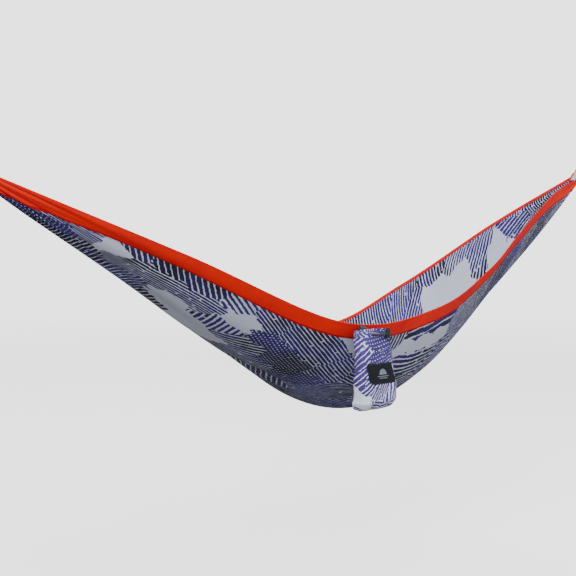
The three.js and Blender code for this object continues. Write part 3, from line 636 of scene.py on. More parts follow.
def group_node(web, tree, values):
    return web.node("ShaderNodeGroup", values, node_tree=tree).outputs


def shaded(colour, factor):
    return (colour[0] * factor, colour[1] * factor, colour[2] * factor, 1.0)


def bump_by(bump, web, height, strength, distance):
    web.feed(bump["Height"], height)
    bump["Strength"].default_value = strength
    bump["Distance"].default_value = distance


def printed_cloth(name, fields, stretch, ground, ink, lit_ink):
    """Printed ripstop nylon."""
    known = bpy.data.materials.get(name)
    if known:
        return known
    numbers = {"Sheen Weight": 0.02, "Sheen Roughness": 0.4, "Specular IOR Level": 0.14}
    material, web, shader, bump = new_finish(name, **numbers)
    chart = chart_of(web)
    weave = group_node(web, shared("ripstop_weave", weave_group), {"Chart": chart})
    marks = group_node(web, print_group(name + "_strokes", fields, stretch), {"Chart": chart})
    cloud = web.ramp(web.noise(chart, 3.0, 2.0).outputs[0], 0.3, 0.7)
    cloth = web.blend(cloud, shaded(ground, 0.9), shaded(ground, 1.08))
    cloth = web.blend(web.math("MULTIPLY", weave["Grid line"], 0.16), cloth, shaded(ground, 0.62))
    # Painted shade and light: the ink colour is the ink in shade, the violet colour the same ink in light.
    colour = web.blend(marks["Violet"], shaded(ink, 1.0), shaded(lit_ink, 1.0))
    web.feed(shader["Base Color"], web.blend(marks["Ink"], cloth, colour))
    web.feed(shader["Roughness"], web.ramp(weave["Height"], 0.3, 0.8, 0.6, 0.74))
    bump_by(bump, web, weave["Height"], 0.35, 0.0012)
    return material


def band_cloth(colour):
    """Red ripstop of the edge bands, darker along its turned hem."""
    known = bpy.data.materials.get("red_band_cloth")
    if known:
        return known
    numbers = {"Sheen Weight": 0.02, "Sheen Roughness": 0.4, "Specular IOR Level": 0.12}
    material, web, shader, bump = new_finish("red_band_cloth", **numbers)
    chart = chart_of(web)
    weave = group_node(web, shared("ripstop_weave", weave_group), {"Chart": chart})
    _, across, _ = web.split(chart)
    hem = web.ramp(web.math("ABSOLUTE", web.math("SUBTRACT", across, 0.047)), 0.0012, 0.0024, 1.0, 0.0)
    cloud = web.ramp(web.noise(chart, 7.0, 3.0).outputs[0], 0.3, 0.7)
    crimson = (colour[0] * 0.8, colour[1] * 0.9, colour[2] + 0.006, 1.0)
    cloth = web.blend(cloud, crimson, shaded(colour, 1.0))
    cloth = web.blend(web.math("MULTIPLY", weave["Grid line"], 0.2), cloth, shaded(colour, 0.7))
    seam = (colour[0] * 0.4, colour[1] * 0.4, colour[2] + 0.01, 1.0)
    web.feed(shader["Base Color"], web.blend(hem, cloth, seam))
    web.feed(shader["Roughness"], web.ramp(weave["Height"], 0.3, 0.8, 0.58, 0.72))
    bump_by(bump, web, weave["Height"], 0.35, 0.001)
    return material


def braid_finish(name, colour, lay, strands, lit_crown_factor=3.0):
    """Braided nylon cord or bound twine, painted darker in the grooves between strands as shade and lighter on the
    crowns as light.
    """
    known = bpy.data.materials.get(name)
    if known:
        return known
    material, web, shader, bump = new_finish(name, **{"Sheen Weight": 0.3, "Specular IOR Level": 0.3})
    values = {"Chart": chart_of(web), "Lay": lay, "Strands": strands}
    threads = group_node(web, shared("braid_threads", braid_group), values)
    # Painted shade in the grooves and painted light on the crowns: a darker and a brighter copy of the cord's
    # colour.
    web.feed(shader["Base Color"], web.blend(threads["Painted crown light"], shaded(colour, 0.6), shaded(colour, lit_crown_factor)))
    web.feed(shader["Roughness"], web.ramp(threads["Painted crown light"], 0.0, 0.7, 0.85, 0.62))
    bump_by(bump, web, threads["Height"], 0.6, 0.0003)
    return material


def hard_finish(name, colour, metallic, rough, worn, worn_rough, grain=2500.0, strength=0.12):
    """Metal or moulded plastic with fine grain and handling wear."""
    known = bpy.data.materials.get(name)
    if known:
        return known
    material, web, shader, bump = new_finish(name, Metallic=metallic)
    place = web.node("ShaderNodeTexCoord").outputs["Object"]
    wear = group_node(web, shared("grain_and_wear", grain_group), {"Place": place, "Grain": grain})
    web.feed(shader["Base Color"], web.blend(wear["Wear"], shaded(colour, 1.0), (*worn, 1.0)))
    web.feed(shader["Roughness"], web.ramp(wear["Wear"], 0.0, 1.0, rough, worn_rough))
    bump_by(bump, web, wear["Grain"], strength, 0.0002)
    return material


def tape_finish(name, colour):
    """Woven tape: ribs across and a little fluff."""
    known = bpy.data.materials.get(name)
    if known:
        return known
    material, web, shader, bump = new_finish(name, **{"Sheen Weight": 0.3, "Specular IOR Level": 0.3})
    chart = chart_of(web)
    x, y, _ = web.split(chart)
    ribs = web.math("SINE", web.math("MULTIPLY", y, math.tau / 0.0009))
    warps = web.math("SINE", web.math("MULTIPLY", x, math.tau / 0.0013))
    weave = web.math("MULTIPLY_ADD", web.math("MULTIPLY", ribs, warps), 0.5, 0.5)
    fluff = web.noise(chart, 900.0, 2.0).outputs[0]
    tone = web.math("MULTIPLY", weave, fluff)
    # Painted shade in the dips of the weave and painted light on its raised threads, varied by the fluff.
    web.feed(shader["Base Color"], web.blend(tone, shaded(colour, 0.6), shaded(colour, 2.6)))
    web.feed(shader["Roughness"], web.ramp(fluff, 0.3, 0.7, 0.7, 0.9))
    bump_by(bump, web, tone, 0.6, 0.0004)
    return material


def label_finish():
    """Black woven patch with a plain half disc over two bars in grey thread."""
    known = bpy.data.materials.get("woven_label")
    if known:
        return known
    material, web, shader, bump = new_finish("woven_label", **{"Specular IOR Level": 0.2})
    chart = chart_of(web)
    x, y, _ = web.split(chart)
    twill = web.math("SINE", web.math("MULTIPLY", web.math("ADD", x, y), math.tau / 0.0008))
    sun = web.ramp(web.vector("DISTANCE", chart, (0.0, -0.003, 0.0)), 0.0155, 0.0162, 1.0, 0.0)
    sun = web.math("MULTIPLY", sun, web.math("GREATER_THAN", y, -0.003))
    bars = [
        web.math("MULTIPLY", web.math("LESS_THAN", web.math("ABSOLUTE", x), half),
                 web.math("LESS_THAN", web.math("ABSOLUTE", web.math("ADD", y, drop)), 0.0011))
        for half, drop in ((0.024, 0.0075), (0.016, 0.0125))
    ]
    motif = web.math("MAXIMUM", sun, web.math("MAXIMUM", *bars))
    # Painted sheen: the twill's ridges lighter than its dips, in the black ground and in the grey motif.
    twill_sheen = web.ramp(twill, -1.0, 1.0, 0.75, 1.0)
    black = web.blend(twill_sheen, (0.003, 0.004, 0.006, 1.0), (0.008, 0.01, 0.015, 1.0))
    grey = (0.2, 0.24, 0.3, 1.0)
    web.feed(shader["Base Color"], web.blend(web.math("MULTIPLY", motif, twill_sheen), black, grey))
    web.feed(shader["Roughness"], web.ramp(twill, -1.0, 1.0, 0.85, 0.7))
    bump_by(bump, web, web.math("ADD", twill, web.math("MULTIPLY", motif, 3.0)), 0.5, 0.0002)
    return material


# ------------------------------------------------------------------ the print's fields
# Each field: place along and across the cloth in metres, stroke angle in degrees, pitch in
# millimetres, and ink weight. A weight of 0 leaves the cloth bare.

NEAR_FIELDS = (
    (0.04, 0.035, 0, 9, 0.0), (0.09, 0.04, 0, 9, 0.0), (0.16, 0.045, 3, 8, 0.76),
    (0.25, 0.05, 5, 8.5, 0.78), (0.23, 0.085, 6, 8.5, 0.76), (0.15, 0.075, 4, 8, 0.8),
    (0.292, 0.082, 0, 9, 0.0), (0.18, 0.125, 78, 10, 1.74), (0.27, 0.17, 84, 11, 0.8),
    (0.42, 0.24, 86, 12, 0.78), (0.35, 0.19, 86, 12, 0.8), (0.34, 0.045, 57, 12, 0.8),
    (0.34, 0.13, 12, 10, 0.74), (0.43, 0.06, 58, 12.5, 0.8), (0.53, 0.07, 58, 12.5, 0.78),
    (0.43, 0.125, 8, 10, 0.72), (0.53, 0.145, 8, 10, 0.74), (0.50, 0.215, 0, 12, 0.0),
    (0.56, 0.27, 0, 12, 0.0), (0.64, 0.33, 0, 12, 0.0), (0.615, 0.205, 76, 13, 0.6),
    (0.60, 0.08, 34, 14, 0.55), (0.64, 0.13, 0, 12, 0.0), (0.50, 0.34, 84, 13, 0.74),
    (0.68, 0.085, 34, 10, 0.76), (0.72, 0.16, 34, 10, 1.68), (0.70, 0.24, -50, 18, 0.74),
    (0.78, 0.34, -46, 18, 0.76), (0.78, 0.10, 33, 10.5, 0.76), (0.88, 0.14, 33, 10.5, 0.74),
    (0.81, 0.22, 34, 10, 1.68), (0.975, 0.055, 0, 12, 0.0), (0.97, 0.2, 34, 10.5, 0.76),
    (0.91, 0.31, -22, 12, 1.7), (1.04, 0.36, -12, 13, 0.82), (0.90, 0.46, 50, 13, 0.76),
    (1.02, 0.54, -10, 13, 0.86), (1.11, 0.075, 84, 15, 0.66), (1.10, 0.2, 24, 12, 0.74),
    (1.19, 0.12, 0, 12, 0.0), (1.22, 0.07, -3, 30, 0.86), (1.32, 0.07, -3, 30, 0.86),
    (1.42, 0.075, -3, 30, 0.8), (1.30, 0.125, 0, 12, 0.0), (1.41, 0.13, 0, 12, 0.0),
    (1.2, 0.19, 8, 20, 0.7), (1.31, 0.2, 8, 20, 0.7), (1.42, 0.21, 8, 20, 0.7),
    (1.50, 0.24, 10, 20, 0.72), (1.30, 0.33, 6, 17, 0.78), (1.36, 0.46, -4, 16, 0.86),
    (1.18, 0.52, 10, 14, 0.84), (1.53, 0.09, 58, 12, 0.68), (1.62, 0.12, 58, 12, 0.72),
    (1.60, 0.28, 12, 18, 0.7), (1.60, 0.42, -30, 14, 0.76), (1.78, 0.10, 56, 12, 0.76),
    (1.80, 0.27, -40, 14, 0.74), (1.95, 0.10, 62, 12, 1.68), (2.02, 0.26, 10, 13, 1.64),
    (2.15, 0.10, 58, 11, 1.7), (2.32, 0.12, 64, 11, 0.78), (2.50, 0.10, 52, 11, 1.68),
    (2.68, 0.09, 60, 11, 0.78), (2.86, 0.08, 12, 10, 0.74),
)
FAR_FIELDS = (
    (0.20, 0.40, 10, 11, 0.7), (0.50, 0.60, 70, 13, 0.7), (0.72, 0.66, 20, 13, 1.65),
    (0.80, 0.53, 0, 12, 0.0), (0.98, 0.72, -40, 14, 0.74), (1.05, 0.92, 85, 14, 0.7),
    (1.22, 0.68, 5, 18, 0.7), (1.28, 0.84, 0, 12, 0.0), (1.38, 1.04, 84, 14, 0.7),
    (1.55, 0.56, 30, 14, 1.66), (1.58, 0.78, -20, 15, 0.7), (1.66, 0.98, 88, 14, 0.7),
    (1.84, 0.50, 0, 12, 0.0), (1.88, 0.68, 12, 15, 0.74), (1.98, 0.58, -30, 14, 1.7),
    (1.94, 0.86, 84, 14, 0.74), (2.06, 0.80, 84, 14, 0.74),
    (2.12, 0.74, 62, 14, 0.74), (2.12, 0.62, 20, 14, 0.76), (2.22, 0.57, 0, 12, 0.0), (2.2, 0.42, 6, 15, 0.7),
    (2.30, 0.655, 84, 15, 0.72), (2.35, 0.50, 0, 12, 0.0), (2.34, 0.36, 4, 15, 0.68),
    (2.40, 0.575, 30, 14, 0.6), (2.49, 0.47, 12, 15, 0.7), (2.53, 0.52, 86, 14, 0.7),
    (2.55, 0.37, 0, 12, 0.0), (2.66, 0.40, 16, 14, 0.8), (2.68, 0.455, 84, 13, 0.7),
    (2.64, 0.28, 0, 12, 0.0), (2.82, 0.41, 88, 12, 0.76), (2.82, 0.30, 8, 12, 0.7),
)
SACK_FIELDS = (
    (-0.088, 0.035, -34, 12, 0.78), (-0.082, 0.085, -36, 12.5, 0.8), (-0.078, 0.135, -40, 12, 0.78),
    (-0.055, 0.06, -36, 12, 0.78), (-0.025, 0.03, 66, 10, 1.78), (-0.015, 0.07, 60, 10, 1.78),
    (0.02, 0.03, 62, 10, 1.76), (0.03, 0.07, 58, 9, 1.74), (0.055, 0.05, 60, 9, 1.74),
    (-0.055, 0.158, -40, 9.5, 0.76), (-0.025, 0.17, -52, 9, 0.72), (0.005, 0.17, -66, 8.5, 0.7),
    (0.035, 0.17, -80, 11, 0.62), (0.062, 0.165, -88, 12, 0.58), (-0.088, 0.18, 0, 10, 0.0),
    (-0.062, 0.194, 0, 10, 0.0), (-0.085, 0.212, 12, 9, 0.66), (-0.03, 0.214, 10, 9, 0.7),
    (0.01, 0.216, -10, 9, 0.7), (0.05, 0.212, 4, 10, 0.62), (0.068, 0.12, 74, 11, 0.7),
    (0.12, 0.05, 30, 11, 1.7), (0.13, 0.12, -40, 12, 0.74), (0.13, 0.19, 0, 11, 0.0),
    (0.18, 0.08, 84, 12, 0.74), (0.18, 0.19, 12, 12, 0.74), (-0.135, 0.05, 20, 11, 1.66),
    (-0.135, 0.12, -60, 12, 0.74), (-0.135, 0.2, 6, 12, 0.7), (-0.18, 0.1, 0, 11, 0.0),
    (-0.18, 0.19, 50, 11, 0.72),
)


# ------------------------------------------------------------------ the stage


class HAMMOCK_OT_stage(bpy.types.Operator):
    """Set the floor, the studio light and the camera"""

    bl_idname = "hammock.stage"
    bl_label = "Stage"

    CAMERA_PLACE = (-3.1209, -2.6557, -0.1316)
    CAMERA_TARGET = (-0.2846, 0.0, -0.4381)
    SENSOR_WIDTH = 36
    LIGHT_TARGET = (0, 0, -0.45)
    FLOOR_RADIUS = 9
    FLOOR_FADE = (3.0, 8.5)
    LIGHTS = (
        ("key", (-3.6, -3.0, 1.3), 2.6, 1.0),
        ("top", (-1.2, -1.6, 3.4), 3.0, 0.55),
        ("fill", (3.0, -3.4, 1.0), 3.2, 0.6),
        ("rim", (0.8, 3.6, 2.8), 2.8, 0.6),
    )

    def execute(self, context):
        settings = context.scene.hammock_stage
        camera = bpy.data.objects.new("camera", bpy.data.cameras.new("camera"))
        context.scene.collection.objects.link(camera)
        camera.data.lens = settings.lens
        camera.data.sensor_width = self.SENSOR_WIDTH
        camera.location = self.CAMERA_PLACE
        view = Vector(self.CAMERA_TARGET) - Vector(self.CAMERA_PLACE)
        camera.rotation_euler = view.to_track_quat("-Z", "Y").to_euler()
        context.scene.camera = camera
        self.add_floor(context, settings)
        for name, place, size, share in self.LIGHTS:
            self.add_light(context, name, place, size, settings.key_power * share)
        world = context.scene.world or bpy.data.worlds.new("studio")
        context.scene.world = world
        world.use_nodes = True
        sky = world.node_tree.nodes["Background"].inputs
        sky["Color"].default_value = (*settings.floor_colour, 1.0)
        web = Web(world.node_tree)
        seen = web.node("ShaderNodeLightPath").outputs["Is Camera Ray"]
        web.feed(sky["Strength"], web.ramp(seen, 0.0, 1.0, settings.sky_light, settings.backdrop))
        return {"FINISHED"}

    def add_floor(self, context, settings):
        bm = bmesh.new()
        place = Matrix.Translation((0, 0, CAD_BOX[0].z - settings.floor_drop))
        bmesh.ops.create_circle(bm, cap_ends=True, segments=96, radius=self.FLOOR_RADIUS, matrix=place)
        mesh = mesh_of(bm, "floor")
        floor = bpy.data.objects.new("floor", mesh)
        context.scene.collection.objects.link(floor)
        material, web, shader, bump = new_finish(
            "studio_floor", Roughness=0.9, Emission_Color=(0.86, 0.86, 0.87, 1.0)
        )
        seen = web.node("ShaderNodeLightPath").outputs["Is Camera Ray"]
        web.feed(shader["Emission Strength"], web.math("MULTIPLY", seen, settings.floor_glow))
        place = web.node("ShaderNodeTexCoord").outputs["Object"]
        mottle = web.noise(place, 2.0, 2.0).outputs[0]
        colour = settings.floor_colour
        tone = web.blend(mottle, shaded(colour, 0.97), shaded(colour, 1.0))
        web.feed(shader["Base Color"], web.blend(seen, shaded(colour, settings.floor_bounce), tone))
        x, y, _ = web.split(place)
        reach = web.vector("LENGTH", web.join(x, y))
        web.feed(shader["Alpha"], web.ramp(reach, *self.FLOOR_FADE, 1.0, 0.0))
        bump_by(bump, web, mottle, 0.05, 0.001)
        mesh.materials.append(material)

    def add_light(self, context, name, place, size, power):
        lamp = bpy.data.lights.new(name, "AREA")
        lamp.energy = power
        lamp.size = size
        holder = bpy.data.objects.new(name, lamp)
        holder.location = place
        aim = Vector(self.LIGHT_TARGET) - Vector(place)
        holder.rotation_euler = aim.to_track_quat("-Z", "Y").to_euler()
        context.scene.collection.objects.link(holder)


# ------------------------------------------------------------------ drawcord and cord lock


def drawcord_points(side):
    """Route of one strand: out of the hem, across its front, through the lock and down."""
    front = SACK_TOP.y - 2 * sack_depth(HEM_HEIGHT / 2) - HEM_PUFF
    line = LOCK_CENTRE.y
    level = CORD_LEVEL + side * CORD_PITCH
    x = SACK_TOP.x
    tail = x + LOCK_OFFSET + side * (CORD_PITCH + 0.0001)
    return (
        (x - 0.036, front - CORD_RADIUS - GAP, level),
        (x - 0.029, front - 0.003, level),
        (x - 0.019, line + 0.0006, level),
        (x - 0.010, line, level),
        (x + 0.008, line, level),
        (x + LOCK_OFFSET, line, level),
        (x + LOCK_OFFSET + 0.009, line, level),
        (tail + 0.014, line + 0.0004, level - 0.0014),
        (tail + 0.0165, line + 0.0008, CORD_LEVEL - 0.006),
        (tail + 0.017, line + 0.001, CORD_LEVEL - 0.011),
    )


LOCK_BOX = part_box("cord_lock_body")
LOCK_CENTRE = (LOCK_BOX[0] + LOCK_BOX[1]) / 2
KNOT_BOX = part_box("sack_drawcord_knot")


class HAMMOCK_OT_drawcord(bpy.types.Operator):
    """Lay the two strands of the drawcord and tie their stopper knot"""

    bl_idname = "hammock.drawcord"
    bl_label = "Drawcord"

    def execute(self, context):
        finish = braid_finish("black_drawcord", (0.014, 0.014, 0.017), 0.0034, 8)
        knot = self.knot(finish)
        for name, side in (("upper", 1), ("lower", -1)):
            path = smooth_path(drawcord_points(side), 110)
            mesh = swept_tube(f"drawcord_{name}", path, 16, braided(CORD_RADIUS, 8, 0.0068))
            node = f"sack_drawcord_{name}"
            strand = add_piece(f"drawcord_{name}", mesh, finish, "stuff_sack", "drawcord", node)
        return {"FINISHED"}

    def knot(self, finish):
        middle = (KNOT_BOX[0] + KNOT_BOX[1]) / 2
        turns = np.linspace(0, 2 * math.pi, 97)
        size = 0.00098
        path = np.stack([
            size * (np.sin(turns) + 2 * np.sin(2 * turns)),
            size * (np.cos(turns) - 2 * np.cos(2 * turns)) * 0.8,
            -1.5 * size * np.sin(3 * turns) + 0.0012,
        ], axis=1) + np.array(middle)
        mesh = swept_tube("stopper_knot", path, 12, braided(0.00115, 8, 0.0068))
        knot = add_piece("stopper_knot", mesh, finish, "stuff_sack", "drawcord", "sack_drawcord_knot")
        for name, side in (("front", 1), ("back", -1)):
            top = np.array(middle) + (0, side * 0.0012, -0.0012)
            ends = [
                top, top + (0.0006, side * 0.0002, -0.0014), top + (side * 0.0003, side * 0.0006, -0.0026),
            ]
            tail = swept_tube(f"cord_tail_{name}", smooth_path(ends, 12), 12, self.frayed)
            add_piece(f"cord_tail_{name}", tail, finish, "stuff_sack", "drawcord")
        return knot

    @staticmethod
    def frayed(angle, run):
        return 0.00105 + 0.00018 * np.sin(7 * angle) * smoothstep(0.0012, 0.0026, run)


class HAMMOCK_OT_cord_lock(bpy.types.Operator):
    """Make the spring cord lock on the drawcord"""

    bl_idname = "hammock.cord_lock"
    bl_label = "Cord Lock"

    def execute(self, context):
        edge = context.scene.hammock_hardware.edge
        acetal = hard_finish("moulded_acetal", (0.012, 0.012, 0.014), 0.0, 0.42, (0.03, 0.03, 0.034), 0.58)
        steel = hard_finish("bright_steel", (0.62, 0.62, 0.64), 1.0, 0.22, (0.5, 0.5, 0.52), 0.36)
        refined_copy("cord_lock_body", "lock_barrel", acetal, "cord_lock", "moulded", 2 * edge)
        refined_copy("cord_lock_button", "lock_button", acetal, "cord_lock_button", "moulded", 2 * edge)
        spring = refined_copy("cord_lock_spring", "lock_spring", steel, "cord_lock", "steel", 0)
        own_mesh(spring)
        self.add_ribs(acetal)
        return {"FINISHED"}

    def add_ribs(self, material):
        """Grip rings round the lower half of the barrel."""
        low, high = LOCK_BOX
        radius = (high.x - low.x) / 2
        for index in range(3):
            level = low.z + 0.0022 + 0.0021 * index
            turns = np.linspace(0, 2 * math.pi, 49)
            path = np.stack([
                LOCK_CENTRE.x + (radius - 0.0002) * np.cos(turns),
                LOCK_CENTRE.y + (radius - 0.0002) * np.sin(turns),
                np.full_like(turns, level),
            ], axis=1)
            mesh = swept_tube(
                f"lock_rib_{index + 1}", path, 10, lambda angle, run: np.full_like(angle, 0.0005)
            )
            add_piece(f"lock_rib_{index + 1}", mesh, material, "cord_lock", "moulded")


# ------------------------------------------------------------------ the bed


class BedShape:
    """The cloth's middle surface, by place along it and distance from the near edge."""

    STATIONS = 360
    SAMPLES = 240
    NARROWEST_CUT = 0.45

    def __init__(self, gather_height):
        t = np.linspace(0, 1, self.STATIONS + 1)
        x = BED_SPAN * (np.array(ALONG) - 0.5)
        tight = np.array([1 if share in (0, 1) else 0 for share in ALONG]) * GATHER_RADIUS
        keel = self.line(
            x, KEEL_SHIFT * np.array(KEEL_SIDE), gather_height - KEEL_SAG * np.array(KEEL_FALL) - tight, t
        )
        near = self.line(
            x, -NEAR_REACH * np.array(NEAR_OUT) - tight, gather_height - NEAR_DROP * np.array(NEAR_FALL), t
        )
        far = self.line(
            x, FAR_REACH * np.array(FAR_OUT) + tight, gather_height - FAR_DROP * np.array(FAR_FALL), t
        )
        w = np.linspace(-1, 1, 2 * self.SAMPLES + 1)[None, :, None] * SECTION_ANGLE
        across = np.sin(w) / math.sin(SECTION_ANGLE)
        rise = (1 - np.cos(w)) / (1 - math.cos(SECTION_ANGLE))
        bowl = keel[:, None] + (far - near)[:, None] / 2 * across + ((far + near) / 2 - keel)[:, None] * rise
        steps = np.linalg.norm(np.diff(bowl, axis=1), axis=2)
        runs = np.concatenate([np.zeros((len(t), 1)), np.cumsum(steps, axis=1)], axis=1)
        self.widths = runs[:, -1]
        shares = np.linspace(0, 1, self.SAMPLES + 1)
        self.table = np.stack([
            np.stack([np.interp(shares * run[-1], run, row[:, k]) for k in range(3)], axis=1)
            for run, row in zip(runs, bowl)
        ])
        self.edge_length = float(np.linalg.norm(np.diff(near, axis=0), axis=1).sum())

    def line(self, x, y, z, t):
        return rail(np.stack([x, y, z], axis=1), t)

    def look_up(self, table, t, share):
        """A value between the table's nearest four."""
        p = np.clip(t, 0, 1) * self.STATIONS
        q = np.clip(share, 0, 1) * self.SAMPLES
        i = np.minimum(p.astype(int), self.STATIONS - 1)
        j = np.minimum(q.astype(int), self.SAMPLES - 1)
        f = (p - i)[:, None]
        g = (q - j)[:, None]
        low = table[i, j] * (1 - g) + table[i, j + 1] * g
        high = table[i + 1, j] * (1 - g) + table[i + 1, j + 1] * g
        return low * (1 - f) + high * f

    def width(self, t):
        return np.interp(t, np.linspace(0, 1, self.STATIONS + 1), self.widths)

    def cut_width(self, t):
        """Width of the flat cloth at each place along it; it tapers towards both gathers."""
        return np.maximum(self.width(t), self.NARROWEST_CUT)

    def frame_at(self, t, share):
        """Place, direction across and outward normal of the smooth surface."""
        step = 0.004
        place = self.look_up(self.table, t, share)
        ahead = self.look_up(self.table, t, np.minimum(share + step, 1)) - self.look_up(
            self.table, t, np.maximum(share - step, 0)
        )
        ahead /= np.linalg.norm(ahead, axis=1)[:, None]
        out = np.stack([np.zeros(len(t)), ahead[:, 2], -ahead[:, 1]], axis=1)
        out /= np.linalg.norm(out, axis=1)[:, None]
        return place, ahead, out

    def folds(self, t, share, pleats, depth):
        """Height of the pleats, tension folds and soft waves of the loaded cloth."""
        width = self.width(t)
        from_end = np.minimum(t, 1 - t)
        right = (t > 0.5) * 1.7
        inner = smoothstep(0.0, 0.1, np.minimum(share, 1 - share))
        ripple = pleats * math.tau * share + 1.1 * np.sin(math.tau * 2 * share + 1 + right)
        crisp = np.sin(ripple) + 0.3 * np.sin(2 * ripple + 0.8)
        gather = np.minimum(depth, 0.17 * width / pleats) * np.exp(-((from_end / 0.07) ** 2))
        x = from_end / 0.11
        reach = (x * np.exp(1 - x)) ** 2
        broad = (
            np.sin(math.tau * 3.4 * share + 1.9 + 2.1 * right)
            + 0.5 * np.sin(math.tau * 6.3 * share + right)
        )
        u, v = t * 3.0, share * width
        waves = (
            np.sin(9.0 * u + 5.0 * v + 0.7) + 0.7 * np.sin(17.0 * u - 11.0 * v + 2.0)
            + 0.5 * np.sin(5.0 * u + 26.0 * v + 1.0) + 0.35 * np.sin(31.0 * u + 19.0 * v)
        )
        belly = smoothstep(0.12, 0.3, from_end)
        return (
            crisp * gather * (0.25 + 0.75 * inner)
            + 0.0042 * broad * reach * (0.05 + 0.95 * inner)
            + 0.0011 * waves * belly * (0.25 + 0.75 * inner)
        )

    def at(self, t, run, lift, settings):
        """Points that far from the near edge along the cloth, lifted off its middle surface."""
        width = self.width(t)
        share = np.clip(run / width, 0, 1)
        place, ahead, out = self.frame_at(t, share)
        beyond = run - share * width
        height = lift + self.folds(t, share, settings.pleats, settings.pleat_depth)
        return place + ahead * beyond[:, None] + out * height[:, None], out


def end_frame(name):
    """From an end's own frame, x out along the rope and z up, to the row frame."""
    outward = -Vector(MOUNTS[f"{name}_strap_seat"]["axis"]).normalized()
    up = Vector((-outward.x * outward.z, 0, outward.x * outward.x)).normalized()
    heel = Vector(JOINTS[f"{name}_carabiner_swing"]["pos_m"])
    basis = Matrix((outward, up.cross(outward), up)).transposed().to_4x4()
    basis.translation = heel - outward * HEEL_CENTRE
    return basis


BED = BedShape(end_frame("right").translation.z)
BED_LENGTH = 3.0
ROWS = 360


class HAMMOCK_OT_bed(bpy.types.Operator):
    """Make the printed cloth bed"""

    bl_idname = "hammock.bed"
    bl_label = "Cloth Bed"

    def execute(self, context):
        settings = context.scene.hammock_bed

        def place(a, b):
            t = self.even_out(a)
            return BED.at(t, b * BED.width(t), np.zeros(len(a)), settings)[0]

        def chart(a, b):
            t = self.even_out(a)
            return np.stack([t * BED_LENGTH, b * BED.cut_width(t)], axis=1)

        mesh = formed_grid("bed_cloth", ROWS, 120, place, chart)
        fields = NEAR_FIELDS + FAR_FIELDS
        cloth = printed_cloth("printed_ripstop", fields, 1.25, settings.ground, settings.ink, settings.lit_ink)
        bed = add_piece("bed_cloth", mesh, cloth, "hammock", "print", "main_panel")
        give_thickness(bed, settings.thickness)
        stations = np.linspace(0, 1, 201)
        cut = BED.cut_width(stations)
        return {"FINISHED"}

    @staticmethod
    def even_out(a):
        """Places rows closer together towards the gathers, where the pleats are."""
        return a - 0.085 * np.sin(math.tau * 2 * a) / 2


class HAMMOCK_OT_bands(bpy.types.Operator):
    """Fold the red bands over both edges and stitch them down"""

    bl_idname = "hammock.bands"
    bl_label = "Edge Bands"

    LIFT = 0.0009
    STITCH_LINES = (0.0035, 0.0435)

    def execute(self, context):
        settings = context.scene.hammock_bands
        bed = context.scene.hammock_bed
        cloth = band_cloth(settings.colour)
        thread = braid_finish("red_thread", (0.5, 0.012, 0.008), 0.001, 4, 1.6)
        for name, far in (("near", False), ("far", True)):
            mesh = self.band_mesh(name, far, bed)
            band = add_piece(f"{name}_band", mesh, cloth, "hammock", "red_edge", f"{name}_edge_band")
            give_thickness(band, bed.thickness)
            lines, outs = [], []
            for distance in self.STITCH_LINES:
                t = np.linspace(0.012, 0.988, 700)
                run = np.minimum(distance, self.reach(t) * distance / BAND_WIDTH)
                lift = np.full(len(t), self.LIFT + bed.thickness / 2)
                points, out = self.from_edge(t, run, lift, far, bed)
                lines.append(points)
                outs.append(out)
            stitches(
                f"{name}_band_stitching", lines, outs, settings.pitch, settings.stitch, 0.00032,
                thread, "hammock", "red_edge",
            )
        return {"FINISHED"}

    def reach(self, t):
        return np.minimum(BAND_WIDTH, 0.4 * BED.width(t))

    def from_edge(self, t, run, lift, far, bed):
        return BED.at(t, BED.width(t) - run if far else run, lift, bed)

    def band_mesh(self, name, far, bed):
        """Outer face from its turned hem up to the edge, round the fold, and the inner hem."""
        lift = self.LIFT
        turn = np.radians(np.linspace(0, 180, 7))
        face = 33
        shares = np.concatenate([np.linspace(1, 0, face), np.zeros(5), np.linspace(0, 1, 4)])
        outside = np.concatenate([np.zeros(face), lift * np.sin(turn[1:-1]), np.zeros(4)])
        lifts = np.concatenate([np.full(face, lift), lift * np.cos(turn[1:-1]), np.full(4, -lift)])
        inner = np.concatenate([np.zeros(face + 5), np.ones(4)])
        last = len(shares) - 1

        def profile(t, b):
            row = np.rint(b * last).astype(int)
            band = self.reach(t)
            hem = np.minimum(BAND_HEM, 0.1 * BED.width(t))
            run = shares[row] * np.where(inner[row] > 0, hem, band) - outside[row]
            roll = 0.0007 * ((row == 0) | (row == 1))
            return run, lifts[row] + roll

        def place(a, b):
            t = HAMMOCK_OT_bed.even_out(a)
            run, height = profile(t, b)
            return self.from_edge(t, run, height, far, bed)[0]

        def chart(a, b):
            t = HAMMOCK_OT_bed.even_out(a)
            run, _ = profile(t, b)
            return np.stack([t * BED_LENGTH, run * BAND_WIDTH / self.reach(t)], axis=1)

        return formed_grid(f"{name}_band", ROWS, last, place, chart)


# ------------------------------------------------------------------ gathered ends and ropes


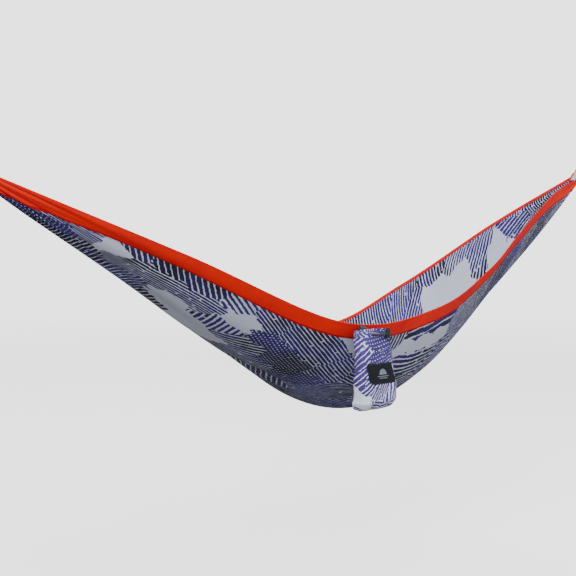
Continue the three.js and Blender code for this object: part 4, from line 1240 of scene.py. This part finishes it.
def rope_points():
    """Route of an end rope in the end's own frame: round the cloth channel, through the
    whipping, round the carabiner's rod and back into the whipping."""
    middle = (WHIPPING_START + WHIPPING_END) / 2
    leg_end = CHANNEL_CENTRE + CHANNEL_LEG
    half_way = (WHIPPING_START + leg_end) / 2
    splay = STRAND + 0.55 * (ROPE_BEND - STRAND)
    eye = ROD_RADIUS + GAP + ROPE_RADIUS + 0.0002
    return [
        (middle - 0.001, -STRAND, 0), (WHIPPING_START - 0.004, -STRAND, 0), (half_way, -splay, 0),
        (leg_end, -ROPE_BEND, 0), *arc(CHANNEL_CENTRE, ROPE_BEND, -90, -270, 8), (leg_end, ROPE_BEND, 0),
        (half_way, splay, 0), (WHIPPING_START - 0.004, STRAND, 0), (WHIPPING_END + 0.002, STRAND, 0),
        *arc(ROD_PLACE, eye, 100, -100, 8), (WHIPPING_END + 0.002, -STRAND, 0), (middle + 0.001, -STRAND, 0),
    ]


def placed(basis, points):
    """Points of an end's own frame in the row frame."""
    turn = np.array(basis.to_3x3())
    return points @ turn.T + np.array(basis.translation)


class HAMMOCK_OT_end_ropes(bpy.types.Operator):
    """Lay the braided rope loops and bind them with whipping twine"""

    bl_idname = "hammock.end_ropes"
    bl_label = "End Ropes"

    def execute(self, context):
        settings = context.scene.hammock_ends
        rope_finish = braid_finish("braided_rope", settings.rope_colour, 0.0085, 16)
        twine = braid_finish("whipping_twine", (0.012, 0.012, 0.014), 0.0015, 6)
        for name in SIDES:
            basis = end_frame(name)
            path = placed(basis, smooth_path(rope_points(), 300))
            mesh = swept_tube(f"{name}_rope_loop", path, 28, braided(ROPE_RADIUS, 16, 0.017))
            rope = add_piece(f"{name}_rope_loop", mesh, rope_finish, "hammock", "rope", f"{name}_end_rope")
            self.whipping(name, basis, settings.wraps, twine)
        return {"FINISHED"}

    def whipping(self, name, basis, wraps, twine):
        """Twine wound side by side round both strands."""
        inner = ROPE_RADIUS + GAP + 0.0002
        thread = (WHIPPING_END - WHIPPING_START) / wraps / 2
        per_turn = 40
        count = per_turn * wraps
        turn = np.linspace(0, math.tau * wraps, count + 1)
        cross = np.cos(turn)
        radius = inner + thread
        along = WHIPPING_START + thread + (WHIPPING_END - WHIPPING_START - 2 * thread) * turn / turn[-1]
        side = np.sign(cross) * np.abs(cross) ** 0.75 * STRAND + radius * cross
        path = np.stack([along, side, radius * np.sin(turn)], axis=1)
        mesh = swept_tube(
            f"{name}_whipping", placed(basis, path), 8, lambda a, r: np.full_like(a, thread * 1.04)
        )
        add_piece(f"{name}_whipping", mesh, twine, "hammock", "rope", f"{name}_rope_whipping")


class HAMMOCK_OT_gathers(bpy.types.Operator):
    """Bunch the cloth into its two gathered ends"""

    bl_idname = "hammock.gathers"
    bl_label = "Gathered Ends"

    # Distance from the gather, half width, half height and height of the bundle's middle
    BUNDLE = (
        (-0.024, 0.013, 0.010, -0.012), (-0.008, 0.021, 0.017, -0.0125), (0.004, 0.0255, 0.0205, -0.011),
        (0.019, 0.0262, 0.0175, -0.005), (0.032, 0.025, 0.0125, -0.001), (0.044, 0.021, 0.009, 0.0),
    )

    def execute(self, context):
        bed = context.scene.hammock_bed
        bands = context.scene.hammock_bands
        cloth = bpy.data.materials["printed_ripstop"]
        red = band_cloth(bands.colour)
        for name in SIDES:
            basis = end_frame(name)
            bundle = self.bundle(name, basis)
            channel = self.channel(name, basis)
            for part, mesh, nodes in (("bundle", bundle, [f"{name}_gathered_end"]), ("channel", channel, [])):
                piece = add_piece(f"{name}_{part}", mesh, [cloth, red], "hammock", "gathered_cloth", *nodes)
                give_thickness(piece, bed.thickness, -1.0)
        return {"FINISHED"}

    def bundle(self, name, basis):
        rows = np.array(self.BUNDLE)

        def place(a, b):
            u = rows[0, 0] + b * (rows[-1, 0] - rows[0, 0])
            wide, tall, level = (np.interp(u, rows[:, 0], rows[:, k]) for k in (1, 2, 3))
            angle = math.tau * a
            ripple = 15 * angle + 1.2 * np.sin(3 * angle) + 2.0 * np.sin(math.pi * b)
            crease = 1 + 0.11 * (np.abs(np.sin(ripple / 2)) ** 0.7 * 2 - 1) + 0.03 * np.sin(5 * angle + 9 * b)
            side = wide * crease * np.cos(angle)
            return placed(basis, np.stack([u, side, level + tall * crease * np.sin(angle)], axis=1))

        def chart(a, b):
            return np.stack([b * 0.07 + 0.02, a * 0.45], axis=1)

        mesh = formed_grid(f"{name}_bundle", 240, 36, place, chart)
        self.paint_red(mesh, basis, lambda x, y, z: abs(y) > 0.009 + 0.25 * max(z, 0))
        return mesh

    def channel(self, name, basis):
        line = smooth_path([
            (CHANNEL_CENTRE + CHANNEL_LEG, -ROPE_BEND, 0), *arc(CHANNEL_CENTRE, ROPE_BEND, -90, -270, 8),
            (CHANNEL_CENTRE + CHANNEL_LEG, ROPE_BEND, 0),
        ], 150)
        total = length_of(line)

        def skin(angle, run):
            share = run / total
            mouth = np.minimum(smoothstep(0.0, 0.045, share), smoothstep(1.0, 0.955, share))
            gather = np.abs(np.sin(math.pi * 17 * share + 0.9 * np.sin(angle + 1) + 0.5 * np.sin(3 * angle)))
            body = 0.0098 + 0.0017 * gather**0.7 + 0.0005 * np.sin(5 * angle + 31 * share)
            return (ROPE_RADIUS + 0.0011) * (1 - mouth) + body * mouth

        mesh = swept_tube(f"{name}_channel", placed(basis, line), 48, skin)
        self.paint_red(mesh, basis, lambda x, y, z: x > CHANNEL_CENTRE - 0.001)
        return mesh

    def paint_red(self, mesh, basis, is_red):
        """Gives the faces where the edge bands end up the second material."""
        back = basis.inverted()
        for face in mesh.polygons:
            face.material_index = int(is_red(*(back @ face.center)))


# ------------------------------------------------------------------ carabiners


class HAMMOCK_OT_carabiners(bpy.types.Operator):
    """Finish the two carabiners, their gates, pins and springs"""

    bl_idname = "hammock.carabiners"
    bl_label = "Carabiners"

    SMALL = (("gate_rivet", "", "rivet_head"), ("latch_pin", "gate", "latch_bar"),
             ("gate_plunger", "gate", "plunger_rod"), ("gate_spring", "gate", "spring_coil"))

    def execute(self, context):
        settings = context.scene.hammock_hardware
        alloy = hard_finish("satin_alloy", settings.alloy, 1.0, 0.3, (0.66, 0.66, 0.68), 0.42)
        steel = hard_finish("bright_steel", (0.62, 0.62, 0.64), 1.0, 0.22, (0.5, 0.5, 0.52), 0.36)
        for name in SIDES:
            body, gate = f"{name}_carabiner", f"{name}_gate"
            refined_copy(f"{name}_carabiner_body", f"{name}_snap_frame", alloy, body, "alloy", settings.edge)
            refined_copy(f"{name}_carabiner_gate", f"{name}_snap_gate", alloy, gate, "alloy", settings.edge)
            for node, rides, label in self.SMALL:
                where = gate if rides else body
                edge = 0 if "spring" in node else settings.edge
                refined_copy(f"{name}_{node}", f"{name}_{label}", steel, where, "steel", edge)
        return {"FINISHED"}


# ------------------------------------------------------------------ the stuff sack


def sack_share(drop, column):
    rows = np.array(SACK_OUTLINE)
    return np.interp(drop / SACK_HEIGHT, rows[:, 0], rows[:, column])


def sack_depth(drop):
    return SACK_DEPTH / 2 * sack_share(drop, 2)


def sack_width(drop):
    return SACK_WIDTH / 2 * sack_share(drop, 1)


def sack_lean(drop):
    return SACK_TOP.x + SACK_LEAN * drop / SACK_HEIGHT


class HAMMOCK_OT_sack(bpy.types.Operator):
    """Make the stuff sack's shell and its ruffled hem"""

    bl_idname = "hammock.sack"
    bl_label = "Stuff Sack"

    def execute(self, context):
        settings = context.scene.hammock_sack
        bed = context.scene.hammock_bed
        # The sack's darker strokes are a half-bright copy of its violet ink: painted shade beside painted light.
        cloth = printed_cloth("sack_ripstop", SACK_FIELDS, 1.0, shaded(bed.ground, 1.25)[:3],
                              shaded(settings.lit_ink, 0.5)[:3], settings.lit_ink)
        shell = add_piece("sack_cloth", self.shell(), cloth, "stuff_sack", "print", "sack_shell")
        give_thickness(shell, settings.thickness, -1.0)
        add_piece("sack_drawn_hem", self.hem(settings), cloth, "stuff_sack", "print", "sack_hem")
        self.seam()
        return {"FINISHED"}

    @staticmethod
    def girth(a):
        """Distance round the sack from the middle of its front, for shares of a turn."""
        turns = np.linspace(-0.75, 1.25, 1441)
        angle = math.tau * turns
        bend = 2 / 3
        x = 0.9 * SACK_WIDTH / 2 * np.sign(np.cos(angle)) * np.abs(np.cos(angle)) ** bend
        y = 0.9 * SACK_DEPTH / 2 * np.sign(np.sin(angle)) * np.abs(np.sin(angle)) ** bend
        run = np.concatenate([[0], np.cumsum(np.hypot(np.diff(x), np.diff(y)))])
        return np.interp(np.where(a < 0.25, a + 1, a), turns, run) - np.interp(0.75, turns, run)

    @staticmethod
    def skin(angle, drop, out=0.0):
        """A point of the sack's skin, with its soft dents and the pull of the drawcord."""
        bend = 2 / 3
        cos, sin = np.cos(angle), np.sin(angle)
        front = sin < 0
        top = np.exp(-((drop / 0.05) ** 2))
        low = smoothstep(0.62, 1.0, drop / SACK_HEIGHT)
        pleat = 0.0013 * np.sin(17 * angle + 1.5 * np.sin(2 * angle)) * top
        dents = (
            0.0016 * np.sin(5 * angle + 38 * drop) + 0.0012 * np.sin(3 * angle - 61 * drop + 1)
            + 0.0009 * np.sin(9 * angle + 95 * drop + 2)
        ) * smoothstep(0.0, 0.05, drop)
        creases = 0.0022 * low * np.abs(np.sin(4 * angle + 30 * drop)) ** 0.5 * np.where(front, 1, 0.4)
        corner = 0.005 * smoothstep(0.8, 0.95, drop / SACK_HEIGHT) * np.abs(cos) ** 3
        give = np.minimum(1.0, sack_depth(drop) / 0.02)
        out = out + (pleat + dents + corner - creases - 0.0012) * give
        wide, deep = sack_width(drop) + out, np.maximum(sack_depth(drop) + out, 0.0)
        return np.stack([
            sack_lean(drop) + wide * np.sign(cos) * np.abs(cos) ** bend,
            SACK_TOP.y - sack_depth(drop) + deep * np.sign(sin) * np.abs(sin) ** bend,
            SACK_TOP.z - drop + 0 * angle,
        ], axis=1)

    def shell(self):
        seam = 0.006

        def drop_at(b):
            return seam + b * (SACK_HEIGHT - seam - 0.001)

        def place(a, b):
            drop = drop_at(b)
            points = self.skin(math.tau * a, drop)
            close = smoothstep(0.975, 1.0, b)
            middle = SACK_TOP.y - sack_depth(drop)
            points[:, 1] = points[:, 1] * (1 - close) + middle * close
            return points

        def chart(a, b):
            underside = 0.03 * smoothstep(0.94, 1.0, b)
            return np.stack([self.girth(a), drop_at(b) + underside], axis=1)

        return formed_grid("sack_cloth", 176, 110, place, chart, round_about=True)

    def hem(self, settings):
        """Cloth channel of the drawcord, bunched into ruffles."""
        count = settings.ruffles
        half = HEM_HEIGHT / 2

        def place(a, b):
            angle, turn = math.tau * a, math.tau * b
            ruffle = np.sin(count * angle + 2.0 * np.sin(3 * angle)) + 0.4 * np.sin(2.3 * count * angle)
            up = np.sin(turn)
            drop = half - (half + 0.0007 * ruffle) * up
            base = self.skin(angle, np.clip(drop, 0, HEM_HEIGHT))
            centre = np.stack([
                np.full(len(a), SACK_TOP.x), SACK_TOP.y - sack_depth(drop), base[:, 2],
            ], axis=1)
            spoke = base - centre
            spoke /= np.linalg.norm(spoke, axis=1)[:, None]
            puff = (0.0014 + 0.0011 * ruffle * (0.6 + 0.4 * up)) * np.cos(turn) - 0.0005
            return base + spoke * puff[:, None]

        def chart(a, b):
            return np.stack([1.3 * self.girth(a), 0.04 * b + 0.01], axis=1)

        return formed_grid("sack_drawn_hem", 300, 20, place, chart, closed_ring=True)

    def seam(self):
        """One needle line round the sack, just under the hem."""
        thread = braid_finish("violet_thread", (0.1, 0.09, 0.25), 0.001, 4, 2.0)
        below_hem = 0.0022
        angle = np.linspace(0, math.tau, 241)
        ring = self.skin(angle, np.full(len(angle), HEM_HEIGHT + below_hem), 0.0005)
        centre = np.array([SACK_TOP.x, SACK_TOP.y - sack_depth(HEM_HEIGHT), 0])
        out = (ring - centre) * (1, 1, 0)
        stitches("sack_hem_stitching", [ring], [out], 0.0042, 0.0028, 0.00028, thread, "stuff_sack", "print")


class HAMMOCK_OT_sack_trim(bpy.types.Operator):
    """Sew on the label, the side loop and the tab that holds the sack to the bed"""

    bl_idname = "hammock.sack_trim"
    bl_label = "Sack Label and Tabs"

    def execute(self, context):
        self.label()
        self.side_loop()
        self.tab()
        return {"FINISHED"}

    @staticmethod
    def front(x, drop, out):
        """The sack's front skin at a distance from its middle line."""
        wide = sack_width(drop)
        share = np.clip(x / wide, -0.999, 0.999)
        angle = -np.arccos(np.sign(share) * np.abs(share) ** 1.5)
        return HAMMOCK_OT_sack.skin(angle, drop, out)

    def label(self):
        shift = SACK_LEAN * 0.6 - SACK_LEAN * LABEL_DROP / SACK_HEIGHT
        tilt = math.radians(2.0)

        def flat(a, b):
            y = (b - 0.5) * LABEL_HEIGHT
            half = LABEL_WIDTH / 2 - np.maximum(0, LABEL_CLIP - (y + LABEL_HEIGHT / 2))
            return (2 * a - 1) * half, y

        def place(a, b):
            x, y = flat(a, b)
            out = 0.0014 + 0 * x
            return self.front(x + shift, LABEL_DROP - y + x * math.tan(tilt), out)

        def chart(a, b):
            return np.stack(flat(a, b), axis=1)

        mesh = formed_grid("woven_patch", 72, 40, place, chart)
        patch = add_piece("woven_patch", mesh, label_finish(), "stuff_sack", "label", "sack_label")
        give_thickness(patch, 0.0009)
        thread = braid_finish("grey_thread", (0.12, 0.13, 0.15), 0.001, 4, 1.6)
        inset = 0.0026
        w, h, clip = LABEL_WIDTH / 2 - inset, LABEL_HEIGHT / 2 - inset, LABEL_CLIP * 0.8
        corners = [
            (-w, h), (w, h), (w, clip - h), (w - clip, -h), (clip - w, -h), (-w, clip - h), (-w, h),
        ]
        outline = np.concatenate([
            np.linspace(a, b, 40, endpoint=False) for a, b in zip(corners, corners[1:])
        ])
        x, y = outline.T
        line = self.front(x + shift, LABEL_DROP - y + x * math.tan(tilt), 0.0019 + 0 * x)
        outs = np.tile([0.0, -1.0, 0.0], (len(line), 1))
        stitches("patch_stitching", [line], [outs], 0.0034, 0.0024, 0.00026, thread, "stuff_sack", "label")

    def side_loop(self):
        finish = braid_finish("grey_braid", (0.3, 0.31, 0.33), 0.004, 8, 1.5)
        low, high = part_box("sack_side_loop")
        level, middle, side = (low.z + high.z) / 2, (low.y + high.y) / 2, high.x
        points = [(side + 0.002, middle, level + 0.0036), (side - 0.005, middle, level + 0.0043),
                  (side - 0.009, middle + 0.0002, level), (side - 0.005, middle - 0.0002, level - 0.0043),
                  (side + 0.002, middle, level - 0.0036)]
        path = smooth_path(points, 60)
        mesh = swept_tube("hanging_loop", path, 14, braided(0.0012, 8, 0.0068))
        add_piece("hanging_loop", mesh, finish, "stuff_sack", "loop", "sack_side_loop")

    def tab(self):
        """Woven tape from the edge band down behind the hem of the sack."""
        node = frame["nodes"]["sack_tab"]
        low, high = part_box("sack_tab")
        bm = bmesh.new()
        bm.from_mesh(node.data)
        bmesh.ops.remove_doubles(bm, verts=bm.verts, dist=MERGE)
        bmesh.ops.dissolve_limit(bm, angle_limit=math.radians(1), verts=bm.verts, edges=bm.edges)
        layer = bm.loops.layers.uv.new("cloth")
        for face in bm.faces:
            for loop in face.loops:
                loop[layer].uv = (loop.vert.co.x - low.x, loop.vert.co.z - low.z)
        mesh = mesh_of(bm, "hanging_tab")
        tape = tape_finish("black_tape", (0.03, 0.031, 0.036))
        tab = add_piece("hanging_tab", mesh, tape, "hammock", "webbing", "sack_tab")
        edges = tab.modifiers.new("edges", "BEVEL")
        edges.width = 0.0003
        edges.segments = 2


# ------------------------------------------------------------------ add-on


class HAMMOCK_PT_panel(bpy.types.Panel):
    """Lists the hammock's pieces"""

    bl_idname = "HAMMOCK_PT_panel"
    bl_label = "Camping Hammock"
    bl_space_type = "VIEW_3D"
    bl_region_type = "UI"
    bl_category = "Hammock"

    def draw(self, context):
        for operator in OPERATORS:
            self.layout.operator(operator.bl_idname)


SETTINGS = {
    "hammock_stage": StageSettings,
    "hammock_bed": BedSettings,
    "hammock_bands": BandSettings,
    "hammock_ends": EndSettings,
    "hammock_hardware": HardwareSettings,
    "hammock_sack": SackSettings,
}
OPERATORS = (
    HAMMOCK_OT_stage, HAMMOCK_OT_drawcord, HAMMOCK_OT_end_ropes, HAMMOCK_OT_cord_lock, HAMMOCK_OT_bed,
    HAMMOCK_OT_bands, HAMMOCK_OT_gathers, HAMMOCK_OT_carabiners, HAMMOCK_OT_sack, HAMMOCK_OT_sack_trim,
)


def register():
    for item in (*SETTINGS.values(), *OPERATORS, HAMMOCK_PT_panel):
        bpy.utils.register_class(item)
    for name, group in SETTINGS.items():
        setattr(bpy.types.Scene, name, PointerProperty(type=group))


def unregister():
    for name in SETTINGS:
        delattr(bpy.types.Scene, name)
    for item in reversed((*SETTINGS.values(), *OPERATORS, HAMMOCK_PT_panel)):
        bpy.utils.unregister_class(item)


def main():
    register()
    bpy.ops.hammock.stage()
    bpy.ops.hammock.drawcord()
    bpy.ops.hammock.end_ropes()
    bpy.ops.hammock.cord_lock()
    bpy.ops.hammock.bed()
    bpy.ops.hammock.bands()
    bpy.ops.hammock.gathers()
    bpy.ops.hammock.carabiners()
    bpy.ops.hammock.sack()
    bpy.ops.hammock.sack_trim()


if __name__ == "__main__":
    main()
